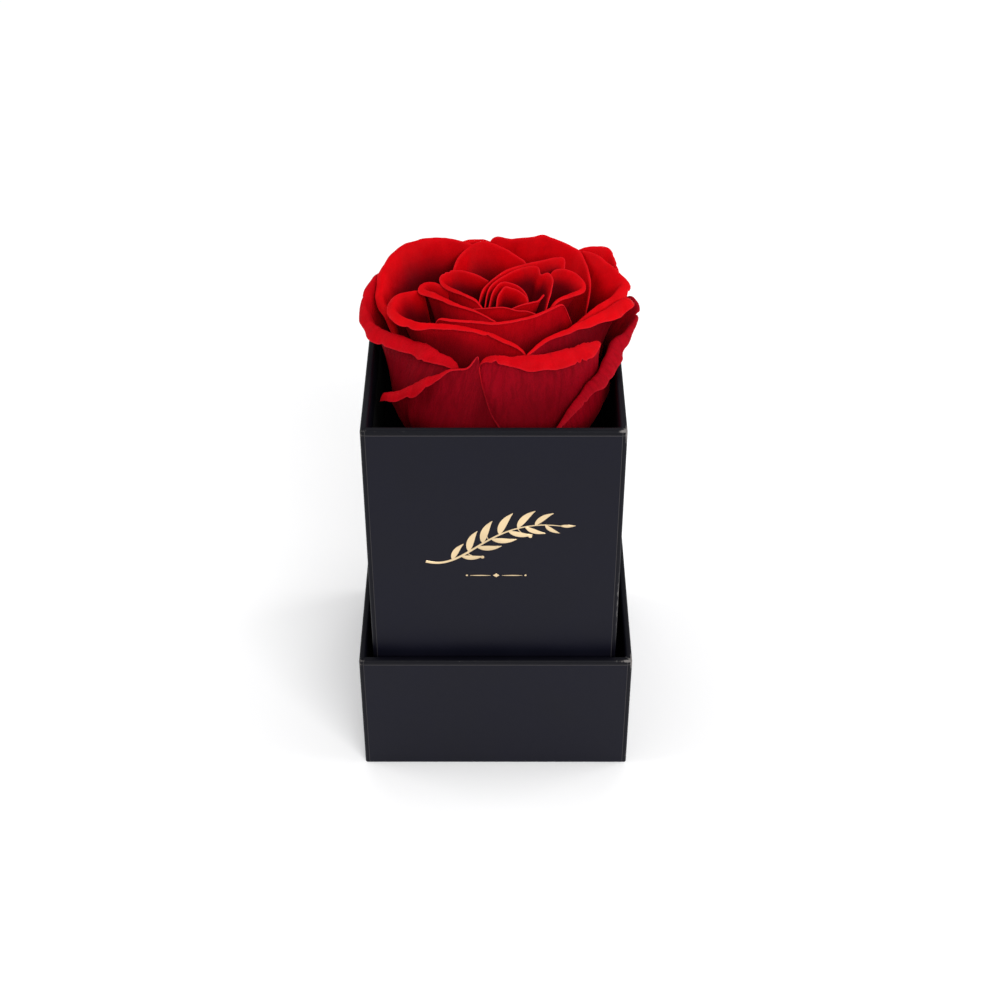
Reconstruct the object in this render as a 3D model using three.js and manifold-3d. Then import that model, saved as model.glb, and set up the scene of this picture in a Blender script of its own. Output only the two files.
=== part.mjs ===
// A preserved rose set in a tall black gift box, which stands in its own upturned lid.
// Millimetres, +Z up, +Y to the back. The origin is on the floor, under the middle of the lid.

import * as THREE from 'three';
import { mergeVertices } from 'three/addons/utils/BufferGeometryUtils.js';
import Module from 'manifold-3d';

const wasm = await Module();
wasm.setup();

// ---- box and lid -------------------------------------------------------------------------
const BOARD = 1.4;              // grey board inside the walls
const PAPER = 0.3;              // cover paper outside and lining paper inside
const WALL = PAPER + BOARD + PAPER;
const LID_SIDE = 80;            // outside width and depth of the lid
const LID_HEIGHT = 43;
const LID_GAP = 2.3;            // all round, between the box and the lid it stands in
const BOX_SIDE = LID_SIDE - 2 * (WALL + LID_GAP);
const BOX_HEIGHT = 121.4;
const BOX_SHIFT = -0.4;         // the box stands a little left of the middle of its lid
const BOX_TURN_IN = 12;         // cover paper folded down inside the rim
const LID_TURN_IN = 10;
const BOX_FLOOR = WALL;         // underside of the box, standing on the lining of the lid
const RIM = BOX_FLOOR + BOX_HEIGHT;

// ---- foam, card and stem -----------------------------------------------------------------
const FOAM_GAP = 0.5;           // between the foam and the lining, all round
const CARD = 0.8;               // black card over the foam
const CARD_BELOW_HEAD = 15.2;   // from the foot of the head down to the card
const CARD_GAP = 0.4;
const STEM_RADIUS = 3;
const STEM_HOLE_GAP = 0.3;
const STEM_IN_FOAM = 24;

// ---- flower head -------------------------------------------------------------------------
const HEAD_BELOW_RIM = 35.4;    // from the rim down to the foot of the head
const PETAL_WALL_GAP = 1.7;     // between the fullest petals and the lining
const HEAD_BELLY = 32;          // half width for which the petal table is drawn
const HEAD_IN_BOX = 35.4;       // height of the rim of the box in the petal table
const HEAD_TOP = 52;            // height in the table at which the lean is complete
const LEAN_RIGHT = 4;           // how far the top of the head leans
const LEAN_BACK = 2.5;
const PETAL_THICKNESS = 0.45;
const PETAL_GAP = 0.3;          // kept free where petals press on each other
const BELLY_HEIGHT = 27;        // height in the table where a petal is fullest

const INNER_HALF = BOX_SIDE / 2 - WALL;
const HEAD_SCALE = (INNER_HALF - PETAL_WALL_GAP) / HEAD_BELLY;
const HEAD_RISE = HEAD_BELOW_RIM / HEAD_IN_BOX;
const HEAD_Z = RIM - HEAD_BELOW_RIM;

const root = new THREE.Group();

// ---- materials ---------------------------------------------------------------------------
const coverPaper = { color: 0x24242c, roughness: 0.42, metalness: 0 };
const liningPaper = { color: 0x0b0b0d, roughness: 0.8, metalness: 0 };
const greyBoard = { color: 0x77736b, roughness: 0.9, metalness: 0 };
const foamLook = { color: 0x15161a, roughness: 0.95, metalness: 0 };
const cardLook = { color: 0x101013, roughness: 0.7, metalness: 0 };
const greenLook = { color: 0x4c6a34, roughness: 0.6, metalness: 0 };
const petalLook = { color: 0xb00812, roughness: 0.65, metalness: 0 };

function addMesh(name, geometry, look) {
  const mesh = new THREE.Mesh(geometry, new THREE.MeshStandardMaterial(look));
  mesh.name = name;
  root.add(mesh);
  return mesh;
}

// ---- solids for cutting ------------------------------------------------------------------
function toSolid(geometry) {
  const bare = geometry.index ? geometry.toNonIndexed() : geometry.clone();
  bare.deleteAttribute('normal');
  bare.deleteAttribute('uv');
  const merged = mergeVertices(bare, 1e-4);
  return new wasm.Manifold(new wasm.Mesh({
    numProp: 3,
    vertProperties: new Float32Array(merged.attributes.position.array),
    triVerts: new Uint32Array(merged.index.array),
  }));
}

function toGeometry(solid) {
  const mesh = solid.getMesh();
  const geometry = new THREE.BufferGeometry();
  geometry.setAttribute('position', new THREE.BufferAttribute(new Float32Array(mesh.vertProperties), 3));
  geometry.setIndex(new THREE.BufferAttribute(new Uint32Array(mesh.triVerts), 1));
  geometry.computeVertexNormals();
  return geometry;
}

function largestPiece(solid) {
  const pieces = solid.decompose();
  return pieces.reduce((best, piece) => (piece.volume() > best.volume() ? piece : best));
}

// ---- square box parts --------------------------------------------------------------------
function block(x0, x1, y0, y1, z0, z1) {
  const geometry = new THREE.BoxGeometry(x1 - x0, y1 - y0, z1 - z0);
  geometry.translate((x0 + x1) / 2, (y0 + y1) / 2, (z0 + z1) / 2);
  return geometry;
}

// A section given as half width and height, carried round a square with mitred corners.
function squareRing(section) {
  const corners = section.map(([half, z]) => new THREE.Vector2(half * Math.SQRT2, z));
  const geometry = new THREE.LatheGeometry(corners, 4, Math.PI / 4);
  geometry.rotateX(Math.PI / 2);
  return geometry;
}

function addTray(prefix, side, height, bottom, turnIn, shift) {
  const half = side / 2;
  const boardOut = half - PAPER;
  const boardIn = boardOut - BOARD;
  const inside = boardIn - PAPER;
  const top = bottom + height;
  const boardLow = bottom + PAPER;
  const boardTop = top - PAPER;
  const floorTop = boardLow + BOARD;
  const foldEnd = top - turnIn;

  const pieces = {
    wrap_sheet: [block(-half, half, -half, half, bottom, boardLow), coverPaper],
    board_panel: [block(-boardIn, boardIn, -boardIn, boardIn, boardLow, floorTop), greyBoard],
    board_front: [block(-boardOut, boardOut, -boardOut, -boardIn, boardLow, boardTop), greyBoard],
    board_back: [block(-boardOut, boardOut, boardIn, boardOut, boardLow, boardTop), greyBoard],
    board_left: [block(-boardOut, -boardIn, -boardIn, boardIn, boardLow, boardTop), greyBoard],
    board_right: [block(boardIn, boardOut, -boardIn, boardIn, boardLow, boardTop), greyBoard],
    wrap_band: [squareRing([
      [half, boardLow], [half, top], [inside, top], [inside, foldEnd],
      [boardIn, foldEnd], [boardIn, boardTop], [boardOut, boardTop], [boardOut, boardLow],
      [half, boardLow],
    ]), coverPaper],
    lining: [squareRing([
      [0, floorTop], [boardIn, floorTop], [boardIn, foldEnd], [inside, foldEnd],
      [inside, floorTop + PAPER], [0, floorTop + PAPER],
    ]), liningPaper],
  };
  for (const [name, [geometry, look]] of Object.entries(pieces)) {
    addMesh(`${prefix}_${name}`, geometry, look).position.x = shift;
  }
}

addTray('lid', LID_SIDE, LID_HEIGHT, 0, LID_TURN_IN, 0);
addTray('box', BOX_SIDE, BOX_HEIGHT, BOX_FLOOR, BOX_TURN_IN, BOX_SHIFT);

// ---- foam, card, stem --------------------------------------------------------------------
const foamHalf = INNER_HALF - FOAM_GAP;
const foamLow = BOX_FLOOR + WALL;
const cardHalf = INNER_HALF - CARD_GAP;
const cardTop = HEAD_Z - CARD_BELOW_HEAD * HEAD_RISE;
const foamTop = cardTop - CARD;
const stemLow = foamTop - STEM_IN_FOAM;

function cylinder(radius, z0, z1, sides = 32) {
  const geometry = new THREE.CylinderGeometry(radius, radius, z1 - z0, sides);
  geometry.rotateX(Math.PI / 2);
  geometry.translate(0, 0, (z0 + z1) / 2);
  return geometry;
}

const stemHole = toSolid(cylinder(STEM_RADIUS + STEM_HOLE_GAP, stemLow - STEM_HOLE_GAP, cardTop + 1));
const foamBlock = block(
  BOX_SHIFT - foamHalf, BOX_SHIFT + foamHalf, -foamHalf, foamHalf, foamLow, foamTop);
addMesh('foam_block', toGeometry(toSolid(foamBlock).subtract(stemHole)), foamLook);
const cardSheet = block(
  BOX_SHIFT - cardHalf, BOX_SHIFT + cardHalf, -cardHalf, cardHalf, foamTop, cardTop);
addMesh('foam_card', toGeometry(toSolid(cardSheet).subtract(stemHole)), cardLook);

// Stem and hip are one grown piece: a cut stem that swells into the hip under the petals.
const hipSection = [
  [0, stemLow], [STEM_RADIUS, stemLow], [STEM_RADIUS, HEAD_Z - 10 * HEAD_RISE],
  [STEM_RADIUS + 1.2, HEAD_Z - 8 * HEAD_RISE], [7 * HEAD_SCALE, HEAD_Z - 5 * HEAD_RISE],
  [9.2 * HEAD_SCALE, HEAD_Z - 3 * HEAD_RISE], [7 * HEAD_SCALE, HEAD_Z + 0.6 * HEAD_RISE],
  [4 * HEAD_SCALE, HEAD_Z + 3.4 * HEAD_RISE], [0, HEAD_Z + 4.6 * HEAD_RISE],
].map(([r, z]) => new THREE.Vector2(r, z));
const stem = new THREE.LatheGeometry(hipSection, 24);
stem.rotateX(Math.PI / 2);
addMesh('stem_and_hip', stem, greenLook);

// ---- leaf-thin shells --------------------------------------------------------------------
// rows[i][j] is a sheet of points; the shell is that sheet thickened to both sides.
function shell(rows, thickness, margin) {
  const countI = rows.length;
  const countJ = rows[0].length;
  const at = (i, j) => rows[THREE.MathUtils.clamp(i, 0, countI - 1)][THREE.MathUtils.clamp(j, 0, countJ - 1)];
  const positions = [];
  for (const side of [1, -1]) {
    for (let i = 0; i < countI; i += 1) {
      for (let j = 0; j < countJ; j += 1) {
        const across = at(i + 1, j).clone().sub(at(i - 1, j)).normalize();
        const along = at(i, j + 1).clone().sub(at(i, j - 1)).normalize();
        const normal = across.clone().cross(along).normalize();
        const point = at(i, j).clone().addScaledVector(normal, side * thickness / 2);
        if (i === 0) point.addScaledVector(across, -margin);
        if (i === countI - 1) point.addScaledVector(across, margin);
        if (j === 0) point.addScaledVector(along, -margin);
        if (j === countJ - 1) point.addScaledVector(along, margin);
        positions.push(point.x, point.y, point.z);
      }
    }
  }
  const index = [];
  const id = (side, i, j) => side * countI * countJ + i * countJ + j;
  const quad = (a, b, c, d) => index.push(a, b, c, a, c, d);
  for (let i = 0; i < countI - 1; i += 1) {
    for (let j = 0; j < countJ - 1; j += 1) {
      quad(id(0, i, j), id(0, i + 1, j), id(0, i + 1, j + 1), id(0, i, j + 1));
      quad(id(1, i, j), id(1, i, j + 1), id(1, i + 1, j + 1), id(1, i + 1, j));
    }
  }
  for (let i = 0; i < countI - 1; i += 1) {
    quad(id(0, i + 1, 0), id(0, i, 0), id(1, i, 0), id(1, i + 1, 0));
    quad(id(0, i, countJ - 1), id(0, i + 1, countJ - 1), id(1, i + 1, countJ - 1), id(1, i, countJ - 1));
  }
  for (let j = 0; j < countJ - 1; j += 1) {
    quad(id(0, 0, j), id(0, 0, j + 1), id(1, 0, j + 1), id(1, 0, j));
    quad(id(0, countI - 1, j + 1), id(0, countI - 1, j), id(1, countI - 1, j), id(1, countI - 1, j + 1));
  }
  const geometry = new THREE.BufferGeometry();
  geometry.setAttribute('position', new THREE.BufferAttribute(new Float32Array(positions), 3));
  geometry.setIndex(index);
  return geometry;
}

// ---- sepals ------------------------------------------------------------------------------
const SEPALS = 5;
const SEPAL_LENGTH = 15;
const SEPAL_HALF_WIDTH = 4;
const SEPAL_THICKNESS = 0.5;

function sepalRows(turn) {
  const rows = [];
  for (let i = 0; i <= 4; i += 1) {
    const across = i / 2 - 1;
    const row = [];
    for (let j = 0; j <= 6; j += 1) {
      const along = j / 6;
      const width = SEPAL_HALF_WIDTH * (0.45 + 0.75 * Math.sin(Math.PI * Math.min(along * 0.9 + 0.1, 1)) - 0.25 * along);
      const out = (10 + SEPAL_LENGTH * 0.75 * along) * HEAD_SCALE;
      const drop = (-3.4 - 6 * along * along - 0.8 * across * across) * HEAD_RISE;
      const point = new THREE.Vector3(out, across * width * HEAD_SCALE, HEAD_Z + drop);
      row.push(point.applyAxisAngle(new THREE.Vector3(0, 0, 1), turn));
    }
    rows.push(row);
  }
  return rows;
}

for (let k = 0; k < SEPALS; k += 1) {
  const rows = sepalRows((k + 0.25) * 2 * Math.PI / SEPALS);
  addMesh(`sepal_${k + 1}`, shell(rows, SEPAL_THICKNESS, 0), greenLook);
}

// ---- petals ------------------------------------------------------------------------------
// Each petal, from the bud outwards: its fullest radius, the radius and height of its foot, and
// the line of its rim. A rim point is: degrees round from +X, distance from the leaning middle
// line, height above the foot of the head, then how far the lip rolls out and drops.
const PETALS = {
  petal_bud_core: [3, 1, 6, [
    [20, 2.6, 53, 0.4, 0], [60, 2.4, 53.5, 0.4, 0], [130, 2.2, 54, 0.4, 0],
    [190, 3, 53.5, 0.4, 0], [225, 3.6, 52, 0.4, 0],
  ]],
  petal_bud_curl: [4.2, 1.6, 6, [
    [210, 6.5, 52, 0.5, 0], [260, 4.2, 53, 0.5, 0], [300, 4.6, 53.2, 0.5, 0],
    [330, 6.2, 53.5, 0.6, 0.3], [348, 8.2, 54, 1, 0.4],
  ]],
  petal_bud_back: [5.5, 2, 5.5, [
    [-20, 6.5, 52.5, 0.4, 0], [30, 5, 53.5, 0.5, 0], [70, 4.4, 54, 0.5, 0],
    [110, 4.6, 54.3, 0.5, 0], [150, 5.4, 54, 0.5, 0], [190, 5.4, 52.5, 0.4, 0],
  ]],
  petal_bud_front: [6.8, 2.5, 5.5, [
    [195, 10, 52, 0.5, 0], [225, 6.8, 52.6, 0.6, 0.2], [262, 6.2, 52.8, 0.6, 0.2],
    [300, 7.2, 52.8, 0.6, 0.2], [322, 10, 52.2, 0.6, 0.2],
  ]],
  petal_heart_notched: [8.5, 3, 5, [
    [-24, 11.3, 52.5, 0.4, 0.2], [12, 12, 53.5, 0.5, 0.2], [38, 14.6, 54, 0.6, 0.3],
    [50, 13.6, 53.2, 0.5, 0.2], [62, 15.4, 54.5, 0.6, 0.3], [78, 12.8, 54.5, 0.6, 0.3],
    [108, 8.6, 54, 0.6, 0.3], [150, 7, 53.5, 0.5, 0.2], [185, 6.6, 52.5, 0.4, 0.2],
  ]],
  petal_heart_square: [10, 3.5, 4.5, [
    [40, 18.5, 50, 0.5, 0.2], [43, 21, 54, 0.6, 0.3], [51, 22.3, 55, 0.6, 0.3],
    [74, 15.2, 54.6, 0.8, 0.4], [98, 11.2, 54.2, 0.8, 0.4], [133, 8.6, 53.5, 0.6, 0.3],
    [184, 7.9, 52.2, 0.5, 0.2],
  ]],
  petal_heart_right: [12, 4, 4, [
    [-24, 11.8, 52, 1.2, 1], [0, 14, 52.5, 1.6, 1.4], [14, 18.7, 52.2, 2, 1.5],
    [21, 22.4, 51.8, 1.5, 1.2], [33, 22.4, 52.8, 1, 0.6], [39, 22.4, 52.2, 0.6, 0.3],
    [43, 22.8, 49, 0.5, 0.2],
  ]],
  petal_heart_left: [12, 4, 4, [
    [118, 12.5, 51.5, 0.5, 0], [130, 15.4, 53, 0.5, 0], [142, 20.8, 53.7, 0.6, 0.2],
    [153, 22.1, 53, 0.8, 0.3], [158, 19.8, 52.6, 1.2, 0.8], [166, 14.6, 52.6, 1.4, 1],
    [180, 9.4, 52.2, 1, 0.6], [195, 7.6, 51.4, 0.6, 0.3],
  ]],
  petal_inner_left: [14.5, 4.6, 3.5, [
    [156, 18.5, 51, 0.5, 0], [159, 23.2, 52.4, 1.5, 0.8], [165, 22.6, 52.4, 3.6, 1.2],
    [173, 19.3, 52, 3.2, 2.2], [188, 14, 52, 2, 1.6], [210, 10, 51.6, 1.6, 1.2],
    [247, 9.2, 51, 1, 0.5],
  ]],
  petal_inner_front: [16.5, 5.2, 3, [
    [196, 20.5, 47, 0.6, 0.3], [202, 20.2, 51.2, 1, 0.8], [217, 16.6, 52.2, 1.6, 1.2],
    [257, 12.4, 53, 1.8, 1.5], [300, 10.9, 53.2, 1.8, 1.4], [330, 12.4, 53.2, 1.4, 1],
    [343, 14.6, 53.2, 1, 0.4], [346, 17, 48, 0.6, 0.2],
  ]],
  petal_inner_back: [18.5, 5.6, 3, [
    [72, 18.5, 50, 0.5, 0], [78, 20.2, 52.2, 0.6, 0], [88, 22.2, 53.2, 0.6, 0],
    [98, 24.8, 54.3, 0.8, 0.2], [108, 27.2, 54.8, 1, 0.3], [118, 27.2, 53.4, 1, 0.3],
    [131, 23.8, 51, 0.8, 0.2], [138, 20.5, 46, 0.6, 0.2],
  ]],
  petal_middle_left: [20, 6.2, 2.5, [
    [162, 24, 47, 0.6, 0.2], [168, 26.8, 51, 1.2, 0.5], [173, 30.4, 50.8, 2.4, 1.5],
    [181, 31, 50.2, 3, 2.5], [190, 29, 50, 3.2, 3], [200, 25, 50.4, 3.2, 3],
    [213, 18.8, 51, 3, 2.6], [238, 15.3, 51.2, 2.6, 2.2], [266, 16.8, 50.6, 2, 1.8],
    [281, 20.5, 49.2, 1.2, 0.8], [290, 20, 42, 0.6, 0.3],
  ]],
  petal_middle_back: [23, 6.8, 2, [
    [8, 22.2, 44, 0.6, 0.3], [26, 25.2, 50, 0.8, 0.3], [42, 28.2, 52.2, 1, 0.4],
    [50, 29.4, 54, 1.2, 0.5], [60, 28.8, 55.2, 1.4, 0.6], [72, 28.8, 56.2, 1.4, 0.6],
    [90, 27.4, 55.2, 1.2, 0.4], [100, 28.6, 55, 1, 0.2], [104, 27.5, 50, 0.6, 0.2],
  ]],
  petal_middle_right: [25, 7.4, 1.5, [
    [-28, 18.8, 48.6, 1.6, 1.6], [-4, 22.6, 50, 2.4, 2.6], [6, 27, 50.6, 3, 3.2],
    [13, 30.6, 51, 3.6, 3.4], [19, 33.2, 51.4, 3.2, 2.2], [24, 32.4, 52.6, 2, 1],
    [30, 31.2, 53.8, 1.2, 0.5], [38, 31, 54.2, 1, 0.3], [48, 31, 53.4, 0.8, 0.2],
    [60, 30.4, 50, 0.6, 0.2],
  ]],
  petal_outer_front_right: [26.5, 8, 1, [
    [-80, 22, 46, 0.6, 0.3], [-76, 22, 49, 1, 0.6], [-58, 18.6, 50.2, 1.6, 1.2],
    [-38, 19.4, 50.4, 1.8, 1.6], [-21, 21, 50.6, 2.4, 2.4], [-8, 25, 50.6, 3.2, 3.6],
    [3, 29, 50.4, 3.6, 3.8], [9, 32.6, 50, 3.2, 3], [13, 33.6, 47, 1, 0.6],
  ]],
  petal_outer_back_left: [27.5, 8.4, 0.5, [
    [104, 28.8, 51.4, 0.6, 0.2], [117, 28.6, 54.8, 1, 0.3], [127, 32.6, 55.8, 1.4, 0.5],
    [136, 36.2, 55.6, 1.6, 0.7], [144, 39.6, 53.6, 1.8, 0.8], [153, 39.4, 50, 2, 1.2],
    [163, 36.4, 46, 2.2, 1.4], [170, 33, 44, 1.6, 1], [176, 30, 38, 0.6, 0.2],
  ]],
  petal_outer_sliver: [28.2, 8.6, 0.4, [
    [92, 30.2, 48, 0.6, 0.2], [100, 30.2, 52.6, 0.8, 0.2], [110, 31, 53.8, 0.8, 0.2],
    [118, 31.8, 53.2, 0.8, 0.2], [122, 33.2, 49, 0.6, 0.2],
  ]],
  petal_outer_back_right: [28.5, 8.8, 0.2, [
    [22, 33.5, 45, 0.6, 0.2], [28, 35, 49.6, 1, 0.3], [36, 36, 51.6, 1, 0.3],
    [42, 36.5, 52.8, 1, 0.3], [46, 34.4, 53.6, 1, 0.3], [52, 32, 53, 0.8, 0.2],
    [58, 32, 48, 0.6, 0.2],
  ]],
  petal_outer_front: [30, 9.2, 0, [
    [-118, 23.8, 40, 0.6, 0.2], [-111, 23.2, 46, 0.8, 0.3], [-106, 23, 48.4, 1.4, 0.8],
    [-96, 23, 49.2, 2, 1.4], [-77, 23.8, 49.6, 3.2, 3], [-57, 25.2, 49.6, 3.6, 3.6],
    [-42, 26, 49, 3.2, 3.4], [-27, 27.4, 47.6, 1.6, 1.4], [-22, 27.6, 43, 0.6, 0.2],
  ]],
  petal_edge_left: [30.5, 9.4, -0.2, [
    [143, 40, 44, 0.6, 0.2], [151, 41.6, 48.4, 0.8, 0.3], [160, 42, 47.4, 1, 0.5],
    [170, 40.6, 46.2, 1.4, 1], [179, 38, 45.4, 2.8, 1.6], [186, 34.8, 45.4, 4, 2],
    [195, 30, 45.8, 4, 2.2], [206, 26, 46, 3.8, 2.4], [222, 24.2, 46, 3.2, 2.2],
    [235, 23.6, 45, 2, 1.2], [241, 24, 41, 0.8, 0.3],
  ]],
  petal_edge_front: [31.2, 9.6, -0.5, [
    [206, 36, 32.6, 2, 1.2], [213, 34, 35.6, 2.6, 2.4], [222, 31, 40, 2.8, 3],
    [230, 29, 43, 1.6, 1.4], [236, 27, 44.8, 0.6, 0.3], [245, 25.4, 45.4, 0.6, 0.2],
    [250, 24.2, 46.8, 0.4, -0.4], [254, 25, 43, 0.5, 0.2], [262, 29, 38, 0.5, 0.2],
    [272, 33, 31, 0.5, 0.2],
  ]],
  petal_edge_right: [31.4, 9.8, -0.8, [
    [-66, 33.6, 29, 0.6, 0.4], [-55, 31.6, 34.4, 1.8, 1.2], [-44, 30, 37.6, 3, 2],
    [-33, 30, 39.6, 3.6, 2.6], [-21, 30, 41.6, 4, 3.2], [-11, 30, 43, 3.6, 3.2],
    [-3, 33, 43.6, 2, 1.6], [5, 35, 44.4, 1, 0.6], [13, 35.6, 45.4, 0.8, 0.4],
    [19, 35.6, 46, 0.8, 0.3], [26, 34.4, 42, 0.6, 0.2],
  ]],
  petal_guard_back_left: [30.6, 9.9, -0.6, [
    [90, 33, 42, 0.6, 0.2], [98, 34.2, 46.5, 1, 0.4], [110, 35.4, 48.4, 1.4, 0.6],
    [122, 38, 49, 1.6, 0.8], [132, 41, 47.6, 1.4, 0.6], [139, 42, 42, 0.6, 0.2],
  ]],
  petal_guard_back: [31.2, 10.1, -1, [
    [51, 37, 41, 0.6, 0.2], [57, 36.2, 46.4, 1, 0.5], [66, 35.4, 49.4, 1.6, 1],
    [78, 35.4, 50, 2, 1.4], [88, 36, 48.4, 1.4, 0.8], [96, 36.4, 42, 0.6, 0.2],
  ]],
  petal_guard_right: [30.2, 10.2, -1.3, [
    [17, 31.6, 37, 0.5, 0.2], [23, 32.8, 41, 0.8, 0.3], [30, 36, 44.6, 1.2, 0.5],
    [38, 37.4, 45.4, 1.4, 0.6], [45, 37.2, 43.6, 1, 0.4], [49, 35.4, 39, 0.6, 0.2],
  ]],
  petal_guard_front: [31.8, 10.4, -1.9, [
    [232, 34, 24, 0.5, 0.2], [244, 33, 29, 0.6, 0.2], [262, 32, 31, 0.6, 0.3],
    [280, 32, 31, 0.6, 0.3], [296, 33, 28, 0.6, 0.2], [306, 34, 23, 0.5, 0.2],
  ]],
};

// A smooth curve through uneven knots: each value is carried by a cubic with averaged slopes.
function smooth(points, knots, u) {
  const last = knots.length - 1;
  const size = points[0].length;
  const slope = (k) => points[k].map((value, c) => {
    if (k === 0) return (points[1][c] - value) / (knots[1] - knots[0]);
    if (k === last) return (value - points[last - 1][c]) / (knots[last] - knots[last - 1]);
    const before = knots[k] - knots[k - 1];
    const after = knots[k + 1] - knots[k];
    const slopeBefore = (value - points[k - 1][c]) / before;
    const slopeAfter = (points[k + 1][c] - value) / after;
    return (slopeBefore * after + slopeAfter * before) / (before + after);
  });
  let k = 0;
  while (k < last - 1 && u > knots[k + 1]) k += 1;
  const span = knots[k + 1] - knots[k];
  const t = THREE.MathUtils.clamp((u - knots[k]) / span, 0, 1);
  const from = slope(k);
  const to = slope(k + 1);
  const value = [];
  for (let c = 0; c < size; c += 1) {
    value.push(
      (2 * t ** 3 - 3 * t ** 2 + 1) * points[k][c] + (t ** 3 - 2 * t ** 2 + t) * span * from[c]
      + (3 * t ** 2 - 2 * t ** 3) * points[k + 1][c] + (t ** 3 - t ** 2) * span * to[c]);
  }
  return value;
}

// Knots spaced by the square root of each step, which keeps a curve from looping at tight bends.
function knotsOf(points) {
  const knots = [0];
  for (let k = 1; k < points.length; k += 1) {
    const step = Math.hypot(...points[k].slice(0, 3).map((value, c) => value - points[k - 1][c]));
    knots.push(knots[k - 1] + Math.sqrt(step));
  }
  return knots;
}

// The middle line of the head, which stands upright at the foot and leans more and more.
function middleAt(height) {
  const k = height / HEAD_TOP;
  return [LEAN_RIGHT * k * Math.abs(k), LEAN_BACK * k * Math.abs(k)];
}

// How far out from the middle line a petal can swell before it would press into the box.
function wallRoom(angle, height) {
  const [x, y] = middleAt(height);
  const cos = Math.cos(angle);
  const sin = Math.sin(angle);
  const roomX = (Math.sign(cos) * HEAD_BELLY + BOX_SHIFT / HEAD_SCALE - x) / (Math.abs(cos) > 1e-6 ? cos : 1e-6);
  const roomY = (Math.sign(sin) * HEAD_BELLY - y) / (Math.abs(sin) > 1e-6 ? sin : 1e-6);
  return Math.min(roomX, roomY);
}

const PETAL_COLUMNS = 11;
// Where along its length a petal has its rows: foot, shoulder, belly, neck, rim and rolled lip.
const PETAL_ROWS = [0, 1, 2, 3, 3.5, 4, 5, 6];

function petalRows(belly, footRadius, footHeight, rim) {
  const rimPoints = rim.map(([degrees, radius, height, out, drop]) => {
    const [x, y] = middleAt(height);
    const angle = THREE.MathUtils.degToRad(degrees);
    return [x + radius * Math.cos(angle), y + radius * Math.sin(angle), height, out, drop];
  });
  const knots = knotsOf(rimPoints);
  const length = knots[knots.length - 1];
  const samples = [];
  for (let i = 0; i < PETAL_COLUMNS; i += 1) {
    const u = length * i / (PETAL_COLUMNS - 1);
    const here = smooth(rimPoints, knots, u);
    const before = smooth(rimPoints, knots, Math.max(u - length / 1000, 0));
    const after = smooth(rimPoints, knots, Math.min(u + length / 1000, length));
    const [x, y] = middleAt(here[2]);
    const heading = Math.hypot(after[0] - before[0], after[1] - before[1]);
    let angle = Math.atan2(here[1] - y, here[0] - x);
    if (i > 0) angle += 2 * Math.PI * Math.round((samples[i - 1].angle - angle) / (2 * Math.PI));
    samples.push({
      here, angle, radius: Math.hypot(here[0] - x, here[1] - y),
      outward: [(after[1] - before[1]) / heading, (before[0] - after[0]) / heading],
    });
  }
  const middle = (samples[0].angle + samples[PETAL_COLUMNS - 1].angle) / 2;
  return samples.map(({ here, angle, radius, outward }) => {
    const [rimX, rimY, rimHeight, out, drop] = here;
    const bellyHeight = Math.min(BELLY_HEIGHT, rimHeight - 9);
    const place = (r, height, spread) => {
      const [x, y] = middleAt(height);
      const turn = middle + (angle - middle) * spread;
      const reach = Math.min(r, wallRoom(turn, height));
      return [x + reach * Math.cos(turn), y + reach * Math.sin(turn), height];
    };
    const lip = (share, rise) => [rimX + outward[0] * out * share, rimY + outward[1] * out * share, rimHeight + rise];
    const profile = [
      place(footRadius, footHeight, 0.35),
      place(footRadius + (belly - footRadius) * 0.62, footHeight + (bellyHeight - footHeight) * 0.4, 0.7),
      place(belly, bellyHeight, 0.92),
      place(belly + (radius - belly) * 0.36, bellyHeight + (rimHeight - bellyHeight) * 0.45, 0.98),
      [rimX, rimY, rimHeight],
      lip(0.62, 0.12 * out - 0.18 * Math.max(drop, 0)),
      lip(1, -drop),
    ];
    const steps = knotsOf(profile);
    return PETAL_ROWS.map((row) => {
      const low = Math.floor(row);
      const high = Math.min(low + 1, steps.length - 1);
      const u = THREE.MathUtils.lerp(steps[low], steps[high], row - low);
      const [x, y, height] = smooth(profile, steps, u);
      return new THREE.Vector3(x * HEAD_SCALE, y * HEAD_SCALE, HEAD_Z + height * HEAD_RISE);
    });
  });
}

// Petals are laid from the bud outwards. Where one would press into those inside it, it is cut
// back so that a small gap stays free between them.
let taken = toSolid(stem);
for (const [name, [belly, footRadius, footHeight, rim]] of Object.entries(PETALS)) {
  const rows = petalRows(belly, footRadius, footHeight, rim);
  const petal = toSolid(shell(rows, PETAL_THICKNESS, 0)).subtract(taken);
  const kept = largestPiece(petal);
  addMesh(name, toGeometry(kept), petalLook);
  const room = toSolid(shell(rows, PETAL_THICKNESS + 2 * PETAL_GAP, PETAL_GAP));
  taken = taken.add(room);
}

export default root;
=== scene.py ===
"""A preserved red rose in a tall black gift box, standing in its own upturned lid.

The file is laid out as a Blender add-on and is run as a script. Lengths are in metres,
except where a name ends in _mm and in the petal tables, which are in millimetres.
"""

import math

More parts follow.
